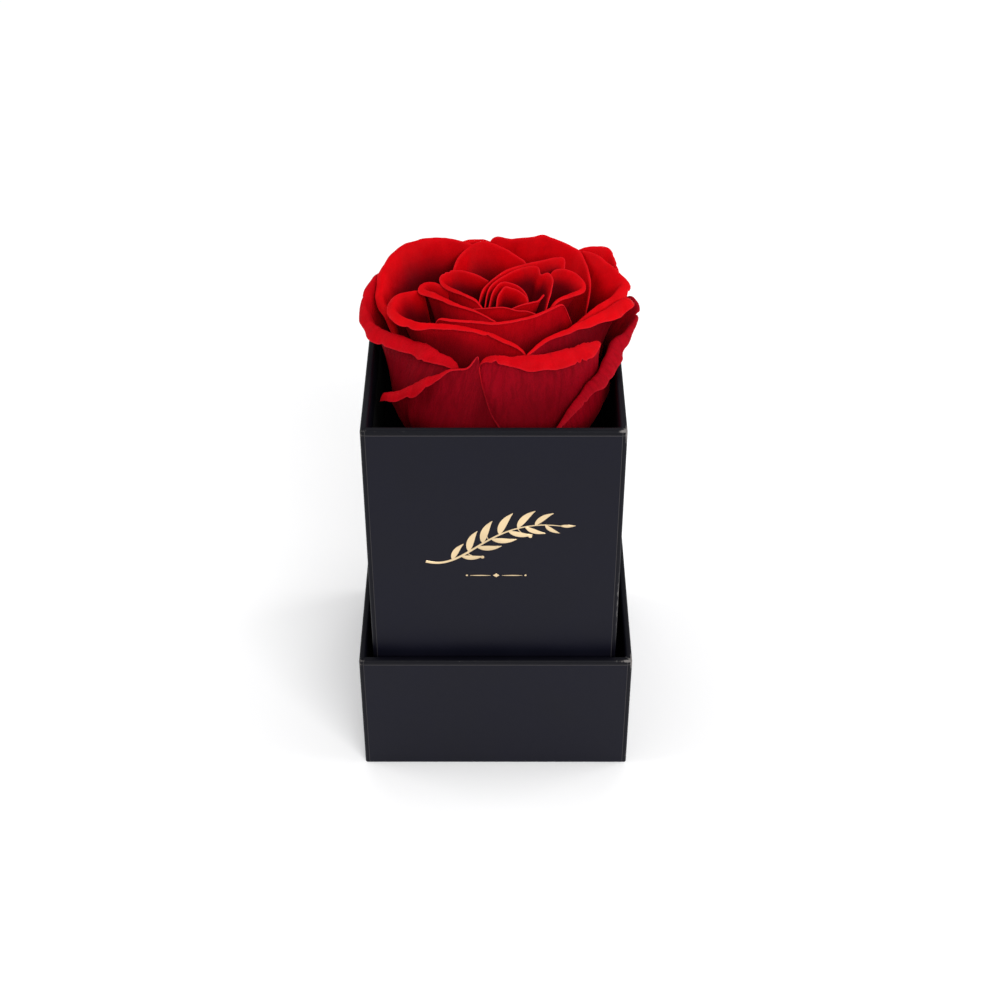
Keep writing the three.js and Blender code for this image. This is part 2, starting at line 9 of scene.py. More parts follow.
import bpy
import numpy as np
from bpy.props import FloatProperty, FloatVectorProperty, PointerProperty
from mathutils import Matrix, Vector


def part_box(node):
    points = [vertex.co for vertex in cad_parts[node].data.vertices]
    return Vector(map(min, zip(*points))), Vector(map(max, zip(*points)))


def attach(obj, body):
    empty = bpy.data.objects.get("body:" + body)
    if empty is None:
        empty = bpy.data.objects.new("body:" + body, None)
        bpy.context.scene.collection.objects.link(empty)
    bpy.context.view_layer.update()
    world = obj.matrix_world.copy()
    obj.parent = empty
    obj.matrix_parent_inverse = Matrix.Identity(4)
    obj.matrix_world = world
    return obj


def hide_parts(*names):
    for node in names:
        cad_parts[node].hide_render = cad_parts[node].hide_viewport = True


bl_info = {
    "name": "Rose in a Box",
    "version": (1, 0, 0),
    "blender": (4, 5, 0),
    "location": "3D View > Sidebar > Rose Box",
    "description": "Builds the looks of a preserved rose in a paper-covered gift box",
    "category": "Object",
}

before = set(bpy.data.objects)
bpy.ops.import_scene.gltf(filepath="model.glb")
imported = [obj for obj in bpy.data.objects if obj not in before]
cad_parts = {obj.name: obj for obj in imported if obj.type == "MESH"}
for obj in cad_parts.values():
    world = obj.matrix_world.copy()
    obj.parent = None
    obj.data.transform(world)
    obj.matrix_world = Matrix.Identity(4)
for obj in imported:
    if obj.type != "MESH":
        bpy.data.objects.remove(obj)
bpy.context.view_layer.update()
MM = 0.001

# ---- sizes taken from the frame --------------------------------------------------------------
BOX_LOW, BOX_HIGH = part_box("box_wrap_band")
LID_LOW, LID_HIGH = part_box("lid_wrap_band")
RIM_MM = BOX_HIGH.z / MM
BOX_SHIFT_MM = (BOX_LOW.x + BOX_HIGH.x) / 2 / MM

# ---- the flower head, in the words and numbers of the petal tables ---------------------------
HEAD_BELOW_RIM_MM = 35.4
HEAD_Z_MM = RIM_MM - HEAD_BELOW_RIM_MM
HEAD_TOP_MM = 52.0
LEAN_MM = (4.0, 2.5)
HEAD_BELLY_MM = 32.0
BELLY_HEIGHT_MM = 27.0


# ---- settings --------------------------------------------------------------------------------
class BoxSettings(bpy.types.PropertyGroup):
    """Sizes and colours of the paper-covered box and its lid."""

    paper: FloatProperty(
        name="Cover paper", description="Thickness of the cover paper", default=0.0003, unit="LENGTH"
    )
    edge_radius: FloatProperty(
        name="Edge radius",
        description="Rounding of the rims and upright edges",
        default=0.0007,
        unit="LENGTH",
    )
    seam_inset: FloatProperty(
        name="Seam inset",
        description="From an upright edge in to the edge of the front or back paper",
        default=0.0013,
        unit="LENGTH",
    )
    seam_step: FloatProperty(
        name="Seam step",
        description="How far the front and back paper stands proud",
        default=0.00012,
        unit="LENGTH",
    )
    cover_colour: FloatVectorProperty(
        name="Cover colour",
        description="Colour of the cover paper",
        subtype="COLOR",
        size=4,
        min=0,
        max=1,
        default=(0.0055, 0.0055, 0.0118, 1),
    )
    # Also the colour of the painted highlight line along the fold and the seams.
    worn_and_highlight_colour: FloatVectorProperty(
        name="Worn colour",
        description="Colour of the cover paper where its edges are rubbed",
        subtype="COLOR",
        size=4,
        min=0,
        max=1,
        default=(0.30, 0.28, 0.27, 1),
    )
    lining_colour: FloatVectorProperty(
        name="Lining colour",
        description="Colour of the lining paper",
        subtype="COLOR",
        size=4,
        min=0,
        max=1,
        default=(0.0035, 0.0033, 0.0040, 1),
    )
    board_colour: FloatVectorProperty(
        name="Board colour",
        description="Colour of the grey board",
        subtype="COLOR",
        size=4,
        min=0,
        max=1,
        default=(0.19, 0.175, 0.15, 1),
    )
    foam_colour: FloatVectorProperty(
        name="Foam colour",
        description="Colour of the flower foam",
        subtype="COLOR",
        size=4,
        min=0,
        max=1,
        default=(0.008, 0.008, 0.009, 1),
    )


class RoseSettings(bpy.types.PropertyGroup):
    """Sizes and colours of the rose."""

    petal_thickness: FloatProperty(
        name="Petal thickness", description="Thickness of a petal", default=0.00028, unit="LENGTH"
    )
    column_spacing: FloatProperty(
        name="Column spacing",
        description="Spacing of mesh columns along a rim",
        default=0.00055,
        unit="LENGTH",
    )
    ruffle: FloatProperty(
        name="Ruffle", description="How strongly the rims wave", default=1.0, min=0, max=3, subtype="FACTOR"
    )
    wrinkle: FloatProperty(
        name="Wrinkle",
        description="How strongly the petals crumple",
        default=1.0,
        min=0,
        max=3,
        subtype="FACTOR",
    )
    inner_colour: FloatVectorProperty(
        name="Inner colour",
        description="Colour of the face of a petal that looks to the heart",
        subtype="COLOR",
        size=4,
        min=0,
        max=1,
        default=(0.61, 0.0004, 0.0034, 1),
    )
    outer_colour: FloatVectorProperty(
        name="Outer colour",
        description="Colour of the back of a petal",
        subtype="COLOR",
        size=4,
        min=0,
        max=1,
        default=(0.30, 0.0012, 0.0085, 1),
    )
    # Painted shade: the colour a petal is darkened towards deep in the head and in its creases; also the
    # colour of the veins on its back.
    shade_and_vein_colour: FloatVectorProperty(
        name="Foot colour",
        description="Colour of a petal low in the head",
        subtype="COLOR",
        size=4,
        min=0,
        max=1,
        default=(0.115, 0.0003, 0.0032, 1),
    )
    # Painted highlight: the colour the thin free edge of a petal is lightened towards.
    edge_highlight_colour: FloatVectorProperty(
        name="Edge colour",
        description="Colour of the thin free edge of a petal",
        subtype="COLOR",
        size=4,
        min=0,
        max=1,
        default=(0.80, 0.030, 0.050, 1),
    )
    green_colour: FloatVectorProperty(
        name="Green colour",
        description="Colour of the stem, hip and sepals",
        subtype="COLOR",
        size=4,
        min=0,
        max=1,
        default=(0.075, 0.125, 0.032, 1),
    )


class SprigSettings(bpy.types.PropertyGroup):
    """Sizes and colour of the foil sprig on the front of the box."""

    middle: FloatVectorProperty(
        name="Middle",
        description="Where the middle of the sprig is, seen from the front",
        size=2,
        subtype="XYZ",
        unit="LENGTH",
        default=(0.0002, 0.0848),
    )
    foil: FloatProperty(
        name="Foil", description="How far the foil stands proud of the paper", default=0.00008, unit="LENGTH"
    )
    foil_colour: FloatVectorProperty(
        name="Foil colour",
        description="Colour of the foil",
        subtype="COLOR",
        size=4,
        min=0,
        max=1,
        default=(0.86, 0.66, 0.40, 1),
    )


class StageSettings(bpy.types.PropertyGroup):
    """Floor, lights and camera."""

    floor_size: FloatProperty(name="Floor size", description="Side of the floor", default=8.0, unit="LENGTH")
    floor_colour: FloatVectorProperty(
        name="Floor colour",
        description="Colour of the floor",
        subtype="COLOR",
        size=4,
        min=0,
        max=1,
        default=(0.96, 0.96, 0.965, 1),
    )
    side_light: FloatProperty(
        name="Side lights", description="Power of the lights left and right", default=4.6, unit="POWER"
    )
    top_light: FloatProperty(
        name="Top light", description="Power of the light above and behind", default=2.2, unit="POWER"
    )
    front_light: FloatProperty(
        name="Front light", description="Power of the light above and in front", default=12.5, unit="POWER"
    )
    surround: FloatProperty(
        name="Surround", description="Brightness of the white surround", default=0.44, min=0, max=4
    )
    camera_place: FloatVectorProperty(
        name="Camera place",
        description="Where the camera stands",
        subtype="TRANSLATION",
        size=3,
        unit="LENGTH",
        default=(0.00148, -0.4137, 0.4036),
    )
    camera_tilt: FloatProperty(
        name="Camera tilt",
        description="Turn of the camera up from looking straight down",
        subtype="ANGLE",
        default=math.radians(51.22),
    )
    camera_turn: FloatProperty(
        name="Camera turn", description="Turn about the upright", subtype="ANGLE", default=math.radians(0.03)
    )
    lens_mm: FloatProperty(name="Lens", description="Focal length in millimetres", default=63.7)


# ---- node trees ------------------------------------------------------------------------------
def feed(tree, socket, value):
    """Links a socket to another, or sets its own value."""
    if isinstance(value, bpy.types.NodeSocket):
        tree.links.new(value, socket)
    else:
        socket.default_value = value


def place(tree, kind, inputs=None, **settings):
    """Adds a node, sets it up and feeds its inputs."""
    made = tree.nodes.new(kind)
    for name, value in settings.items():
        setattr(made, name, value)
    for key, value in (inputs or {}).items():
        feed(tree, made.inputs[key], value)
    return made


def maths(tree, operation, first, second=0.0, clamp=False):
    """One Math node; gives its output."""
    made = place(tree, "ShaderNodeMath", {0: first, 1: second}, operation=operation)
    made.use_clamp = clamp
    return made.outputs[0]


def blend(tree, share, first, second, mode="MIX"):
    """Mixes two colours; gives the colour."""
    made = place(tree, "ShaderNodeMix", data_type="RGBA", blend_type=mode)
    feed(tree, made.inputs[0], share)
    feed(tree, made.inputs[6], first)
    feed(tree, made.inputs[7], second)
    return made.outputs[2]


def spread(tree, value, low, high, to_low=0.0, to_high=1.0):
    """Carries a value from one range to another and stops it at the ends."""
    made = place(
        tree,
        "ShaderNodeMapRange",
        {0: value, 1: low, 2: high, 3: to_low, 4: to_high},
        interpolation_type="SMOOTHSTEP",
    )
    return made.outputs[0]


def noise(tree, vector, scale, detail=2.0, roughness=0.5):
    """One Noise node; gives its value."""
    sockets = {"Vector": vector, "Scale": scale, "Detail": detail, "Roughness": roughness}
    return place(tree, "ShaderNodeTexNoise", sockets).outputs[0]


def stretch(tree, vector, scale):
    """Scales a vector by three factors."""
    return place(tree, "ShaderNodeVectorMath", {0: vector, 1: scale}, operation="MULTIPLY").outputs[0]


def attribute(tree, name):
    """The value of a mesh attribute."""
    return place(tree, "ShaderNodeAttribute", attribute_name=name).outputs["Fac"]


def start_group(name, inputs, outputs):
    """A new node group with the named inputs and outputs."""
    group = bpy.data.node_groups.new(name, "ShaderNodeTree")
    for label, kind, value in inputs:
        socket = group.interface.new_socket(label, in_out="INPUT", socket_type=kind)
        if value is not None:
            socket.default_value = value
    for label, kind in outputs:
        group.interface.new_socket(label, in_out="OUTPUT", socket_type=kind)
    source = group.nodes.new("NodeGroupInput")
    sink = group.nodes.new("NodeGroupOutput")
    return group, source.outputs, sink.inputs


def use_group(tree, group, **values):
    """Places a group; a value's name is the socket's name with _ for a space."""
    made = place(tree, "ShaderNodeGroup", node_tree=group)
    for name, value in values.items():
        feed(tree, made.inputs[name.replace("_", " ")], value)
    return made.outputs


def paper_grain_group():
    """Fine fibres and slow unevenness of paper and board."""
    name = "Paper Grain"
    if name in bpy.data.node_groups:
        return bpy.data.node_groups[name]
    group, given, out = start_group(
        name,
        [("Vector", "NodeSocketVector", None), ("Fibre Scale", "NodeSocketFloat", 2600.0)],
        [("Height", "NodeSocketFloat"), ("Cloud", "NodeSocketFloat")],
    )
    along = stretch(group, given["Vector"], (1.0, 1.0, 0.35))
    across = stretch(group, given["Vector"], (0.35, 0.35, 1.0))
    fibres = noise(group, along, given["Fibre Scale"], 3.0, 0.6)
    crossed = noise(group, across, given["Fibre Scale"], 3.0, 0.6)
    both = maths(group, "MAXIMUM", fibres, crossed)
    cloud = noise(group, given["Vector"], 55.0, 3.0, 0.55)
    waves = noise(group, given["Vector"], 240.0, 2.0, 0.5)
    feed(group, out["Height"], maths(group, "ADD", both, maths(group, "MULTIPLY", waves, 0.8)))
    feed(group, out["Cloud"], cloud)
    return group


def edge_wear_group():
    """Rubbed places along edges: the mask breaks up away from the sharpest part."""
    name = "Edge Wear"
    if name in bpy.data.node_groups:
        return bpy.data.node_groups[name]
    group, given, out = start_group(
        name,
        [
            ("Vector", "NodeSocketVector", None),
            ("Edge", "NodeSocketFloat", 0.0),
            ("Scuff", "NodeSocketFloat", 0.0),
            ("Amount", "NodeSocketFloat", 0.3),
        ],
        [("Mask", "NodeSocketFloat")],
    )
    coarse = noise(group, given["Vector"], 420.0, 4.0, 0.65)
    fine = noise(group, given["Vector"], 2400.0, 3.0, 0.6)
    coarse_part = maths(group, "MULTIPLY", coarse, 0.65)
    fine_part = maths(group, "MULTIPLY", fine, 0.35)
    broken = maths(group, "ADD", coarse_part, fine_part)
    drive = maths(group, "ADD", maths(group, "MULTIPLY", given["Edge"], given["Amount"]), given["Scuff"])
    level = maths(group, "ADD", broken, maths(group, "MULTIPLY", drive, 0.42))
    mask = spread(group, level, 0.74, 0.90)
    feed(group, out["Mask"], maths(group, "MULTIPLY", mask, maths(group, "MINIMUM", drive, 1.0)))
    return group


def dust_group():
    """A few light specks and short hairs lying on a surface."""
    name = "Dust"
    if name in bpy.data.node_groups:
        return bpy.data.node_groups[name]
    group, given, out = start_group(
        name,
        [
            ("Vector", "NodeSocketVector", None),
            ("Scale", "NodeSocketFloat", 260.0),
            ("Amount", "NodeSocketFloat", 0.1),
        ],
        [("Mask", "NodeSocketFloat")],
    )
    cells = place(group, "ShaderNodeTexVoronoi", {"Vector": given["Vector"], "Scale": given["Scale"]})
    parts = place(group, "ShaderNodeSeparateColor", {0: cells.outputs["Color"]})
    speck = spread(group, cells.outputs["Distance"], 0.05, 0.10, 1.0, 0.0)
    chosen = maths(group, "LESS_THAN", parts.outputs[0], given["Amount"])
    size = maths(group, "MULTIPLY", speck, maths(group, "MULTIPLY", parts.outputs[1], chosen))
    feed(group, out["Mask"], size)
    return group


def skin_group():
    """Veins, crumples and cloudy colour of petals and green parts, along a leaf's own length."""
    name = "Plant Skin"
    if name in bpy.data.node_groups:
        return bpy.data.node_groups[name]
    group, given, out = start_group(
        name,
        [
            ("Vector", "NodeSocketVector", None),
            ("Seed", "NodeSocketFloat", 0.0),
            ("Vein Scale", "NodeSocketFloat", 110.0),
            ("Crumple", "NodeSocketFloat", 0.5),
        ],
        [("Height", "NodeSocketFloat"), ("Vein", "NodeSocketFloat"), ("Cloud", "NodeSocketFloat")],
    )
    shift = maths(group, "MULTIPLY", given["Seed"], 3.7)
    apart = place(group, "ShaderNodeCombineXYZ", {2: shift}).outputs[0]
    here = place(group, "ShaderNodeVectorMath", {0: given["Vector"], 1: apart}, operation="ADD").outputs[0]
    bend = place(group, "ShaderNodeTexNoise", {"Vector": here, "Scale": 14.0, "Detail": 2.0})
    wander = place(
        group, "ShaderNodeVectorMath", {0: bend.outputs["Color"], "Scale": 0.030}, operation="SCALE"
    ).outputs[0]
    bent = place(group, "ShaderNodeVectorMath", {0: here, 1: wander}, operation="ADD").outputs[0]
    along = stretch(group, bent, (1.0, 0.13, 1.0))
    streak = noise(group, along, given["Vein Scale"], 4.0, 0.6)
    net_place = stretch(group, bent, (1.0, 0.42, 1.0))
    net = place(
        group,
        "ShaderNodeTexVoronoi",
        {"Vector": net_place, "Scale": maths(group, "MULTIPLY", given["Vein Scale"], 0.85)},
        feature="DISTANCE_TO_EDGE",
    ).outputs["Distance"]
    net_lines = spread(group, net, 0.0, 0.16, 1.0, 0.0)
    crumple = noise(group, stretch(group, bent, (1.0, 0.6, 1.0)), 62.0, 5.0, 0.62)
    velvet = noise(group, here, 900.0, 2.0, 0.6)
    raised = maths(group, "MULTIPLY", streak, 0.8)
    ribs = maths(group, "SUBTRACT", raised, maths(group, "MULTIPLY", net_lines, 0.05))
    crease_shade = maths(group, "MULTIPLY", crumple, given["Crumple"])
    fuzz = maths(group, "MULTIPLY", velvet, 0.10)
    feed(group, out["Height"], maths(group, "ADD", maths(group, "ADD", ribs, crease_shade), fuzz))
    feed(group, out["Vein"], spread(group, streak, 0.40, 0.68))
    feed(group, out["Cloud"], noise(group, here, 21.0, 3.0, 0.6))
    return group


# ---- materials -------------------------------------------------------------------------------
def start_material(name, constants):
    """A new material and its Principled shader with the even values set."""
    material = bpy.data.materials.new(name)
    material.use_nodes = True
    tree = material.node_tree
    shader = tree.nodes["Principled BSDF"]
    for key, value in constants.items():
        shader.inputs[key].default_value = value
    return material, tree, shader.inputs


def object_place(tree):
    """Coordinates in metres on the object itself."""
    return place(tree, "ShaderNodeTexCoord").outputs["Object"]


def bump(tree, height, strength, distance):
    """A Bump node fed by a height; gives the normal."""
    return place(
        tree, "ShaderNodeBump", {"Strength": strength, "Distance": distance, "Height": height}
    ).outputs["Normal"]


def known(name, make):
    """The material of that name, made the first time it is asked for."""
    return bpy.data.materials.get(name) or make(name)


def make_cover_paper(name):
    """Black satin cover paper with fine grain, rubbed edges and a little dust, painted shade on the rim band
    and the strips by the upright edges, and a painted highlight line along the fold and each seam.
    """
    look = bpy.context.scene.rose_box
    material, tree, sockets = start_material(name, {"Specular IOR Level": 0.13, "IOR": 1.5})
    where = object_place(tree)
    grain = use_group(tree, paper_grain_group(), Vector=where, Fibre_Scale=2600.0)
    wear = use_group(
        tree,
        edge_wear_group(),
        Vector=where,
        Edge=attribute(tree, "edge_wear"),
        Scuff=attribute(tree, "scuff"),
        Amount=0.36,
    )
    dust = use_group(tree, dust_group(), Vector=where, Scale=190.0, Amount=0.035)
    cloud = spread(tree, grain["Cloud"], 0.3, 0.7)
    darker = [value * 0.92 for value in look.cover_colour[:3]] + [1.0]
    lighter = [value * 1.07 for value in look.cover_colour[:3]] + [1.0]
    # Painted shade: the cover colour darkened for the rim band above the fold and the strips by the upright
    # edges.
    strip_shade = [value * 0.45 for value in look.cover_colour[:3]] + [1.0]
    colour = blend(tree, cloud, darker, lighter)
    colour = blend(tree, attribute(tree, "painted_edge_shade"), colour, strip_shade)
    # Painted highlight: a pale line along the fold and along the seams.
    highlight_line = maths(tree, "MULTIPLY", attribute(tree, "fold_highlight"), 0.16)
    colour = blend(tree, highlight_line, colour, tuple(look.worn_and_highlight_colour))
    rubbed = maths(tree, "MULTIPLY", wear["Mask"], 0.55)
    colour = blend(tree, rubbed, colour, tuple(look.worn_and_highlight_colour))
    colour = blend(tree, maths(tree, "MULTIPLY", dust["Mask"], 0.5), colour, (0.35, 0.35, 0.34, 1.0))
    feed(tree, sockets["Base Color"], colour)
    even = maths(tree, "ADD", 0.44, maths(tree, "MULTIPLY", cloud, 0.08))
    feed(tree, sockets["Roughness"], maths(tree, "ADD", even, maths(tree, "MULTIPLY", rubbed, 0.4), True))
    height = maths(tree, "ADD", grain["Height"], maths(tree, "MULTIPLY", dust["Mask"], 1.5))
    feed(tree, sockets["Normal"], bump(tree, height, 0.35, 0.00003))
    return material


def make_lining_paper(name):
    """Matt black lining paper."""
    look = bpy.context.scene.rose_box
    material, tree, sockets = start_material(name, {"Specular IOR Level": 0.22})
    where = object_place(tree)
    grain = use_group(tree, paper_grain_group(), Vector=where, Fibre_Scale=1900.0)
    dust = use_group(tree, dust_group(), Vector=where, Scale=150.0, Amount=0.03)
    darker = [value * 0.7 for value in look.lining_colour[:3]] + [1.0]
    colour = blend(tree, spread(tree, grain["Cloud"], 0.3, 0.7), darker, tuple(look.lining_colour))
    colour = blend(tree, maths(tree, "MULTIPLY", dust["Mask"], 0.25), colour, (0.2, 0.2, 0.2, 1.0))
    feed(tree, sockets["Base Color"], colour)
    feed(tree, sockets["Roughness"], spread(tree, grain["Cloud"], 0.2, 0.8, 0.78, 0.9))
    feed(tree, sockets["Normal"], bump(tree, grain["Height"], 0.5, 0.00006))
    return material


def make_grey_board(name):
    """Grey board of pressed waste paper, with darker and lighter flecks."""
    look = bpy.context.scene.rose_box
    material, tree, sockets = start_material(name, {"Specular IOR Level": 0.3})
    where = object_place(tree)
    grain = use_group(tree, paper_grain_group(), Vector=where, Fibre_Scale=1100.0)
    flecks = use_group(tree, dust_group(), Vector=where, Scale=900.0, Amount=0.3)
    darker = [value * 0.75 for value in look.board_colour[:3]] + [1.0]
    colour = blend(tree, spread(tree, grain["Cloud"], 0.3, 0.7), darker, tuple(look.board_colour))
    colour = blend(tree, flecks["Mask"], colour, (0.05, 0.05, 0.05, 1.0))
    feed(tree, sockets["Base Color"], colour)
    feed(tree, sockets["Roughness"], spread(tree, grain["Cloud"], 0.2, 0.8, 0.85, 0.95))
    feed(tree, sockets["Normal"], bump(tree, grain["Height"], 0.8, 0.00015))
    return material


def make_foam(name):
    """Dry black flower foam: an open crumb of small cells."""
    look = bpy.context.scene.rose_box
    material, tree, sockets = start_material(name, {"Specular IOR Level": 0.2})
    where = object_place(tree)
    cells = place(tree, "ShaderNodeTexVoronoi", {"Vector": where, "Scale": 1500.0}).outputs["Distance"]
    dust = use_group(tree, dust_group(), Vector=where, Scale=420.0, Amount=0.10)
    paler = [value * 2.2 for value in look.foam_colour[:3]] + [1.0]
    colour = blend(tree, spread(tree, cells, 0.15, 0.6), tuple(look.foam_colour), paler)
    colour = blend(tree, maths(tree, "MULTIPLY", dust["Mask"], 0.4), colour, (0.12, 0.12, 0.12, 1.0))
    feed(tree, sockets["Base Color"], colour)
    feed(tree, sockets["Roughness"], spread(tree, cells, 0.0, 0.6, 0.98, 0.86))
    feed(tree, sockets["Normal"], bump(tree, cells, 1.0, 0.0004))
    return material


def make_black_card(name):
    """Matt black card laid over the foam."""
    material, tree, sockets = start_material(name, {"Specular IOR Level": 0.25})
    where = object_place(tree)
    grain = use_group(tree, paper_grain_group(), Vector=where, Fibre_Scale=1400.0)
    dust = use_group(tree, dust_group(), Vector=where, Scale=170.0, Amount=0.09)
    colour = blend(tree, grain["Cloud"], (0.004, 0.004, 0.005, 1.0), (0.010, 0.010, 0.012, 1.0))
    colour = blend(tree, maths(tree, "MULTIPLY", dust["Mask"], 0.5), colour, (0.25, 0.25, 0.24, 1.0))
    feed(tree, sockets["Base Color"], colour)
    feed(tree, sockets["Roughness"], spread(tree, grain["Cloud"], 0.2, 0.8, 0.7, 0.82))
    feed(tree, sockets["Normal"], bump(tree, grain["Height"], 0.6, 0.00008))
    return material


def make_green_skin(name):
    """Green of the stem, hip and sepals, dried and a little brown in places."""
    look = bpy.context.scene.rose_flower
    material, tree, sockets = start_material(name, {"Specular IOR Level": 0.35})
    where = stretch(tree, object_place(tree), (10.0, 10.0, 3.0))
    skin = use_group(tree, skin_group(), Vector=where, Vein_Scale=70.0, Crumple=0.6)
    darker = [value * 0.55 for value in look.green_colour[:3]] + [1.0]
    colour = blend(tree, skin["Vein"], tuple(look.green_colour), darker)
    colour = blend(tree, spread(tree, skin["Cloud"], 0.52, 0.75), colour, (0.085, 0.055, 0.022, 1.0))
    feed(tree, sockets["Base Color"], colour)
    feed(tree, sockets["Roughness"], spread(tree, skin["Cloud"], 0.2, 0.8, 0.5, 0.72))
    feed(tree, sockets["Normal"], bump(tree, skin["Height"], 0.6, 0.0003))
    return material


def make_petal_skin(name, crumple, vein_scale, richness, dullness):
    """Velvety preserved petal, duller on its back: painted light towards the rim, painted shade deep in the
    head and in its creases, a painted highlight on its free edge.
    """
    look = bpy.context.scene.rose_flower
    constants = {
        "Specular IOR Level": 0.03,
        "Sheen Weight": 0.12,
        "Sheen Roughness": 0.45,
        "Sheen Tint": (1.0, 0.03, 0.05, 1.0),
        "Subsurface Weight": 0.08,
        "Subsurface Radius": (1.0, 0.12, 0.10),
        "Subsurface Scale": 0.0014,
    }
    material, tree, sockets = start_material(name, constants)
    map_place = place(tree, "ShaderNodeUVMap", uv_map="leaf_map").outputs["UV"]
    side = attribute(tree, "petal_side")
    edge = attribute(tree, "petal_edge")
    lit = attribute(tree, "petal_lit")
    tone = attribute(tree, "petal_tone")
    skin = use_group(
        tree, skin_group(), Vector=map_place, Seed=tone, Vein_Scale=vein_scale, Crumple=crumple
    )
    deep = [value * richness for value in look.inner_colour[:3]] + [1.0]
    inner = blend(tree, spread(tree, skin["Cloud"], 0.3, 0.7), tuple(look.inner_colour), deep)
    faded = [value * 0.72 for value in look.outer_colour[:3]] + [1.0]
    outer = blend(tree, skin["Vein"], tuple(look.outer_colour), faded)
    colour = blend(tree, maths(tree, "MULTIPLY", side, dullness), inner, outer)
    # Painted shade: a petal darkened by depth below its rim, where less light reaches.
    colour = blend(tree, lit, tuple(look.shade_and_vein_colour), colour)
    veined = maths(tree, "MULTIPLY", skin["Vein"], maths(tree, "MULTIPLY", side, 0.08))
    colour = blend(tree, veined, colour, tuple(look.shade_and_vein_colour))
    # Painted shade in the sharp creases.
    painted_crease_shade = maths(tree, "MULTIPLY", attribute(tree, "petal_crease_shade"), 0.75)
    colour = blend(tree, painted_crease_shade, colour, tuple(look.shade_and_vein_colour))
    # Painted highlight along the free edge of the petal.
    colour = blend(tree, maths(tree, "MULTIPLY", edge, 0.30), colour, tuple(look.edge_highlight_colour))
    feed(tree, sockets["Base Color"], colour)
    rough = maths(tree, "ADD", 0.50, maths(tree, "MULTIPLY", side, 0.10))
    rough = maths(tree, "ADD", rough, maths(tree, "MULTIPLY", skin["Cloud"], 0.10))
    feed(tree, sockets["Roughness"], rough)
    rougher = maths(tree, "ADD", 0.30, maths(tree, "MULTIPLY", side, 0.70))
    deepened = maths(tree, "MULTIPLY", skin["Height"], rougher)
    feed(tree, sockets["Normal"], bump(tree, deepened, 0.55, 0.00042))
    return material


def make_foil(name):
    """Pale gold foil pressed into paper, with the grain of the paper showing through."""
    look = bpy.context.scene.rose_sprig
    material, tree, sockets = start_material(name, {"Specular IOR Level": 0.5})
    where = object_place(tree)
    grain = use_group(tree, paper_grain_group(), Vector=where, Fibre_Scale=2600.0)
    worn = use_group(tree, dust_group(), Vector=where, Scale=1300.0, Amount=0.18)
    darker = [value * 0.78 for value in look.foil_colour[:3]] + [1.0]
    colour = blend(tree, spread(tree, grain["Cloud"], 0.3, 0.7), tuple(look.foil_colour), darker)
    colour = blend(tree, maths(tree, "MULTIPLY", worn["Mask"], 0.5), colour, (0.10, 0.07, 0.045, 1.0))
    feed(tree, sockets["Base Color"], colour)
    feed(tree, sockets["Metallic"], maths(tree, "SUBTRACT", 1.0, maths(tree, "MULTIPLY", worn["Mask"], 0.6)))
    feed(tree, sockets["Roughness"], spread(tree, grain["Cloud"], 0.2, 0.8, 0.26, 0.38))
    feed(tree, sockets["Normal"], bump(tree, grain["Height"], 0.5, 0.00005))
    return material


def make_floor(name):
    """Plain pale floor with a very slight unevenness."""
    look = bpy.context.scene.rose_stage
    constants = {
        "Specular IOR Level": 0.2,
        "Emission Color": (1.0, 1.0, 1.0, 1.0),
        "Emission Strength": 0.09,
    }
    material, tree, sockets = start_material(name, constants)
    cloud = noise(tree, object_place(tree), 3.0, 3.0, 0.5)
    slight = [value * 0.985 for value in look.floor_colour[:3]] + [1.0]
    feed(tree, sockets["Base Color"], blend(tree, cloud, tuple(look.floor_colour), slight))
    feed(tree, sockets["Roughness"], spread(tree, cloud, 0.2, 0.8, 0.75, 0.85))
    return material


# ---- meshes ----------------------------------------------------------------------------------
def make_piece(name, points, faces, material, values=None, map_points=None, sharp=None):
    """A mesh piece that rides on the one body of the part."""
    mesh = bpy.data.meshes.new(name)
    mesh.from_pydata(points, [], faces)
    mesh.shade_smooth()
    if sharp is not None:
        mesh.set_sharp_from_angle(angle=sharp)
    for label, data in (values or {}).items():
        held = mesh.attributes.new(label, "FLOAT", "POINT")
        held.data.foreach_set("value", np.asarray(data, np.float32))
    if map_points is not None:
        layer = mesh.uv_layers.new(name="leaf_map")
        corner_points = np.zeros(len(mesh.loops), np.int32)
        mesh.loops.foreach_get("vertex_index", corner_points)
        layer.data.foreach_set("uv", np.asarray(map_points, np.float32)[corner_points].ravel())
    mesh.materials.append(material)
    mesh.validate()
    piece = bpy.data.objects.new(name, mesh)
    bpy.context.scene.collection.objects.link(piece)
    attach(piece, "root")
    return piece


def finish_node(node, material):
    """Gives a part of the frame its own finish."""
    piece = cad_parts[node]
    piece.data.materials.clear()
    piece.data.materials.append(material)


# ---- paper covers ----------------------------------------------------------------------------
ARC_STEPS = 8
SIDE_STEPS = 22
# The cover paper is turned over the rim as a strip that ends a little below it, outside.
FOLD_BELOW_RIM = 0.0014
# The strip's end: distance below it, depth, whether the strip is there and painted in shade, how clear its
# painted highlight line is.
FOLD_ROWS = (
    (0.00036, 0.0, 0.0, 0.0), (0.00022, 0.0, 0.0, 1.0), (0.00010, 0.00002, 0.0, 0.6),
    (0.00004, 0.00010, 1.0, 0.0), (-0.00004, 0.00010, 1.0, 0.0), (-0.00012, 0.0, 1.0, 0.0),
)


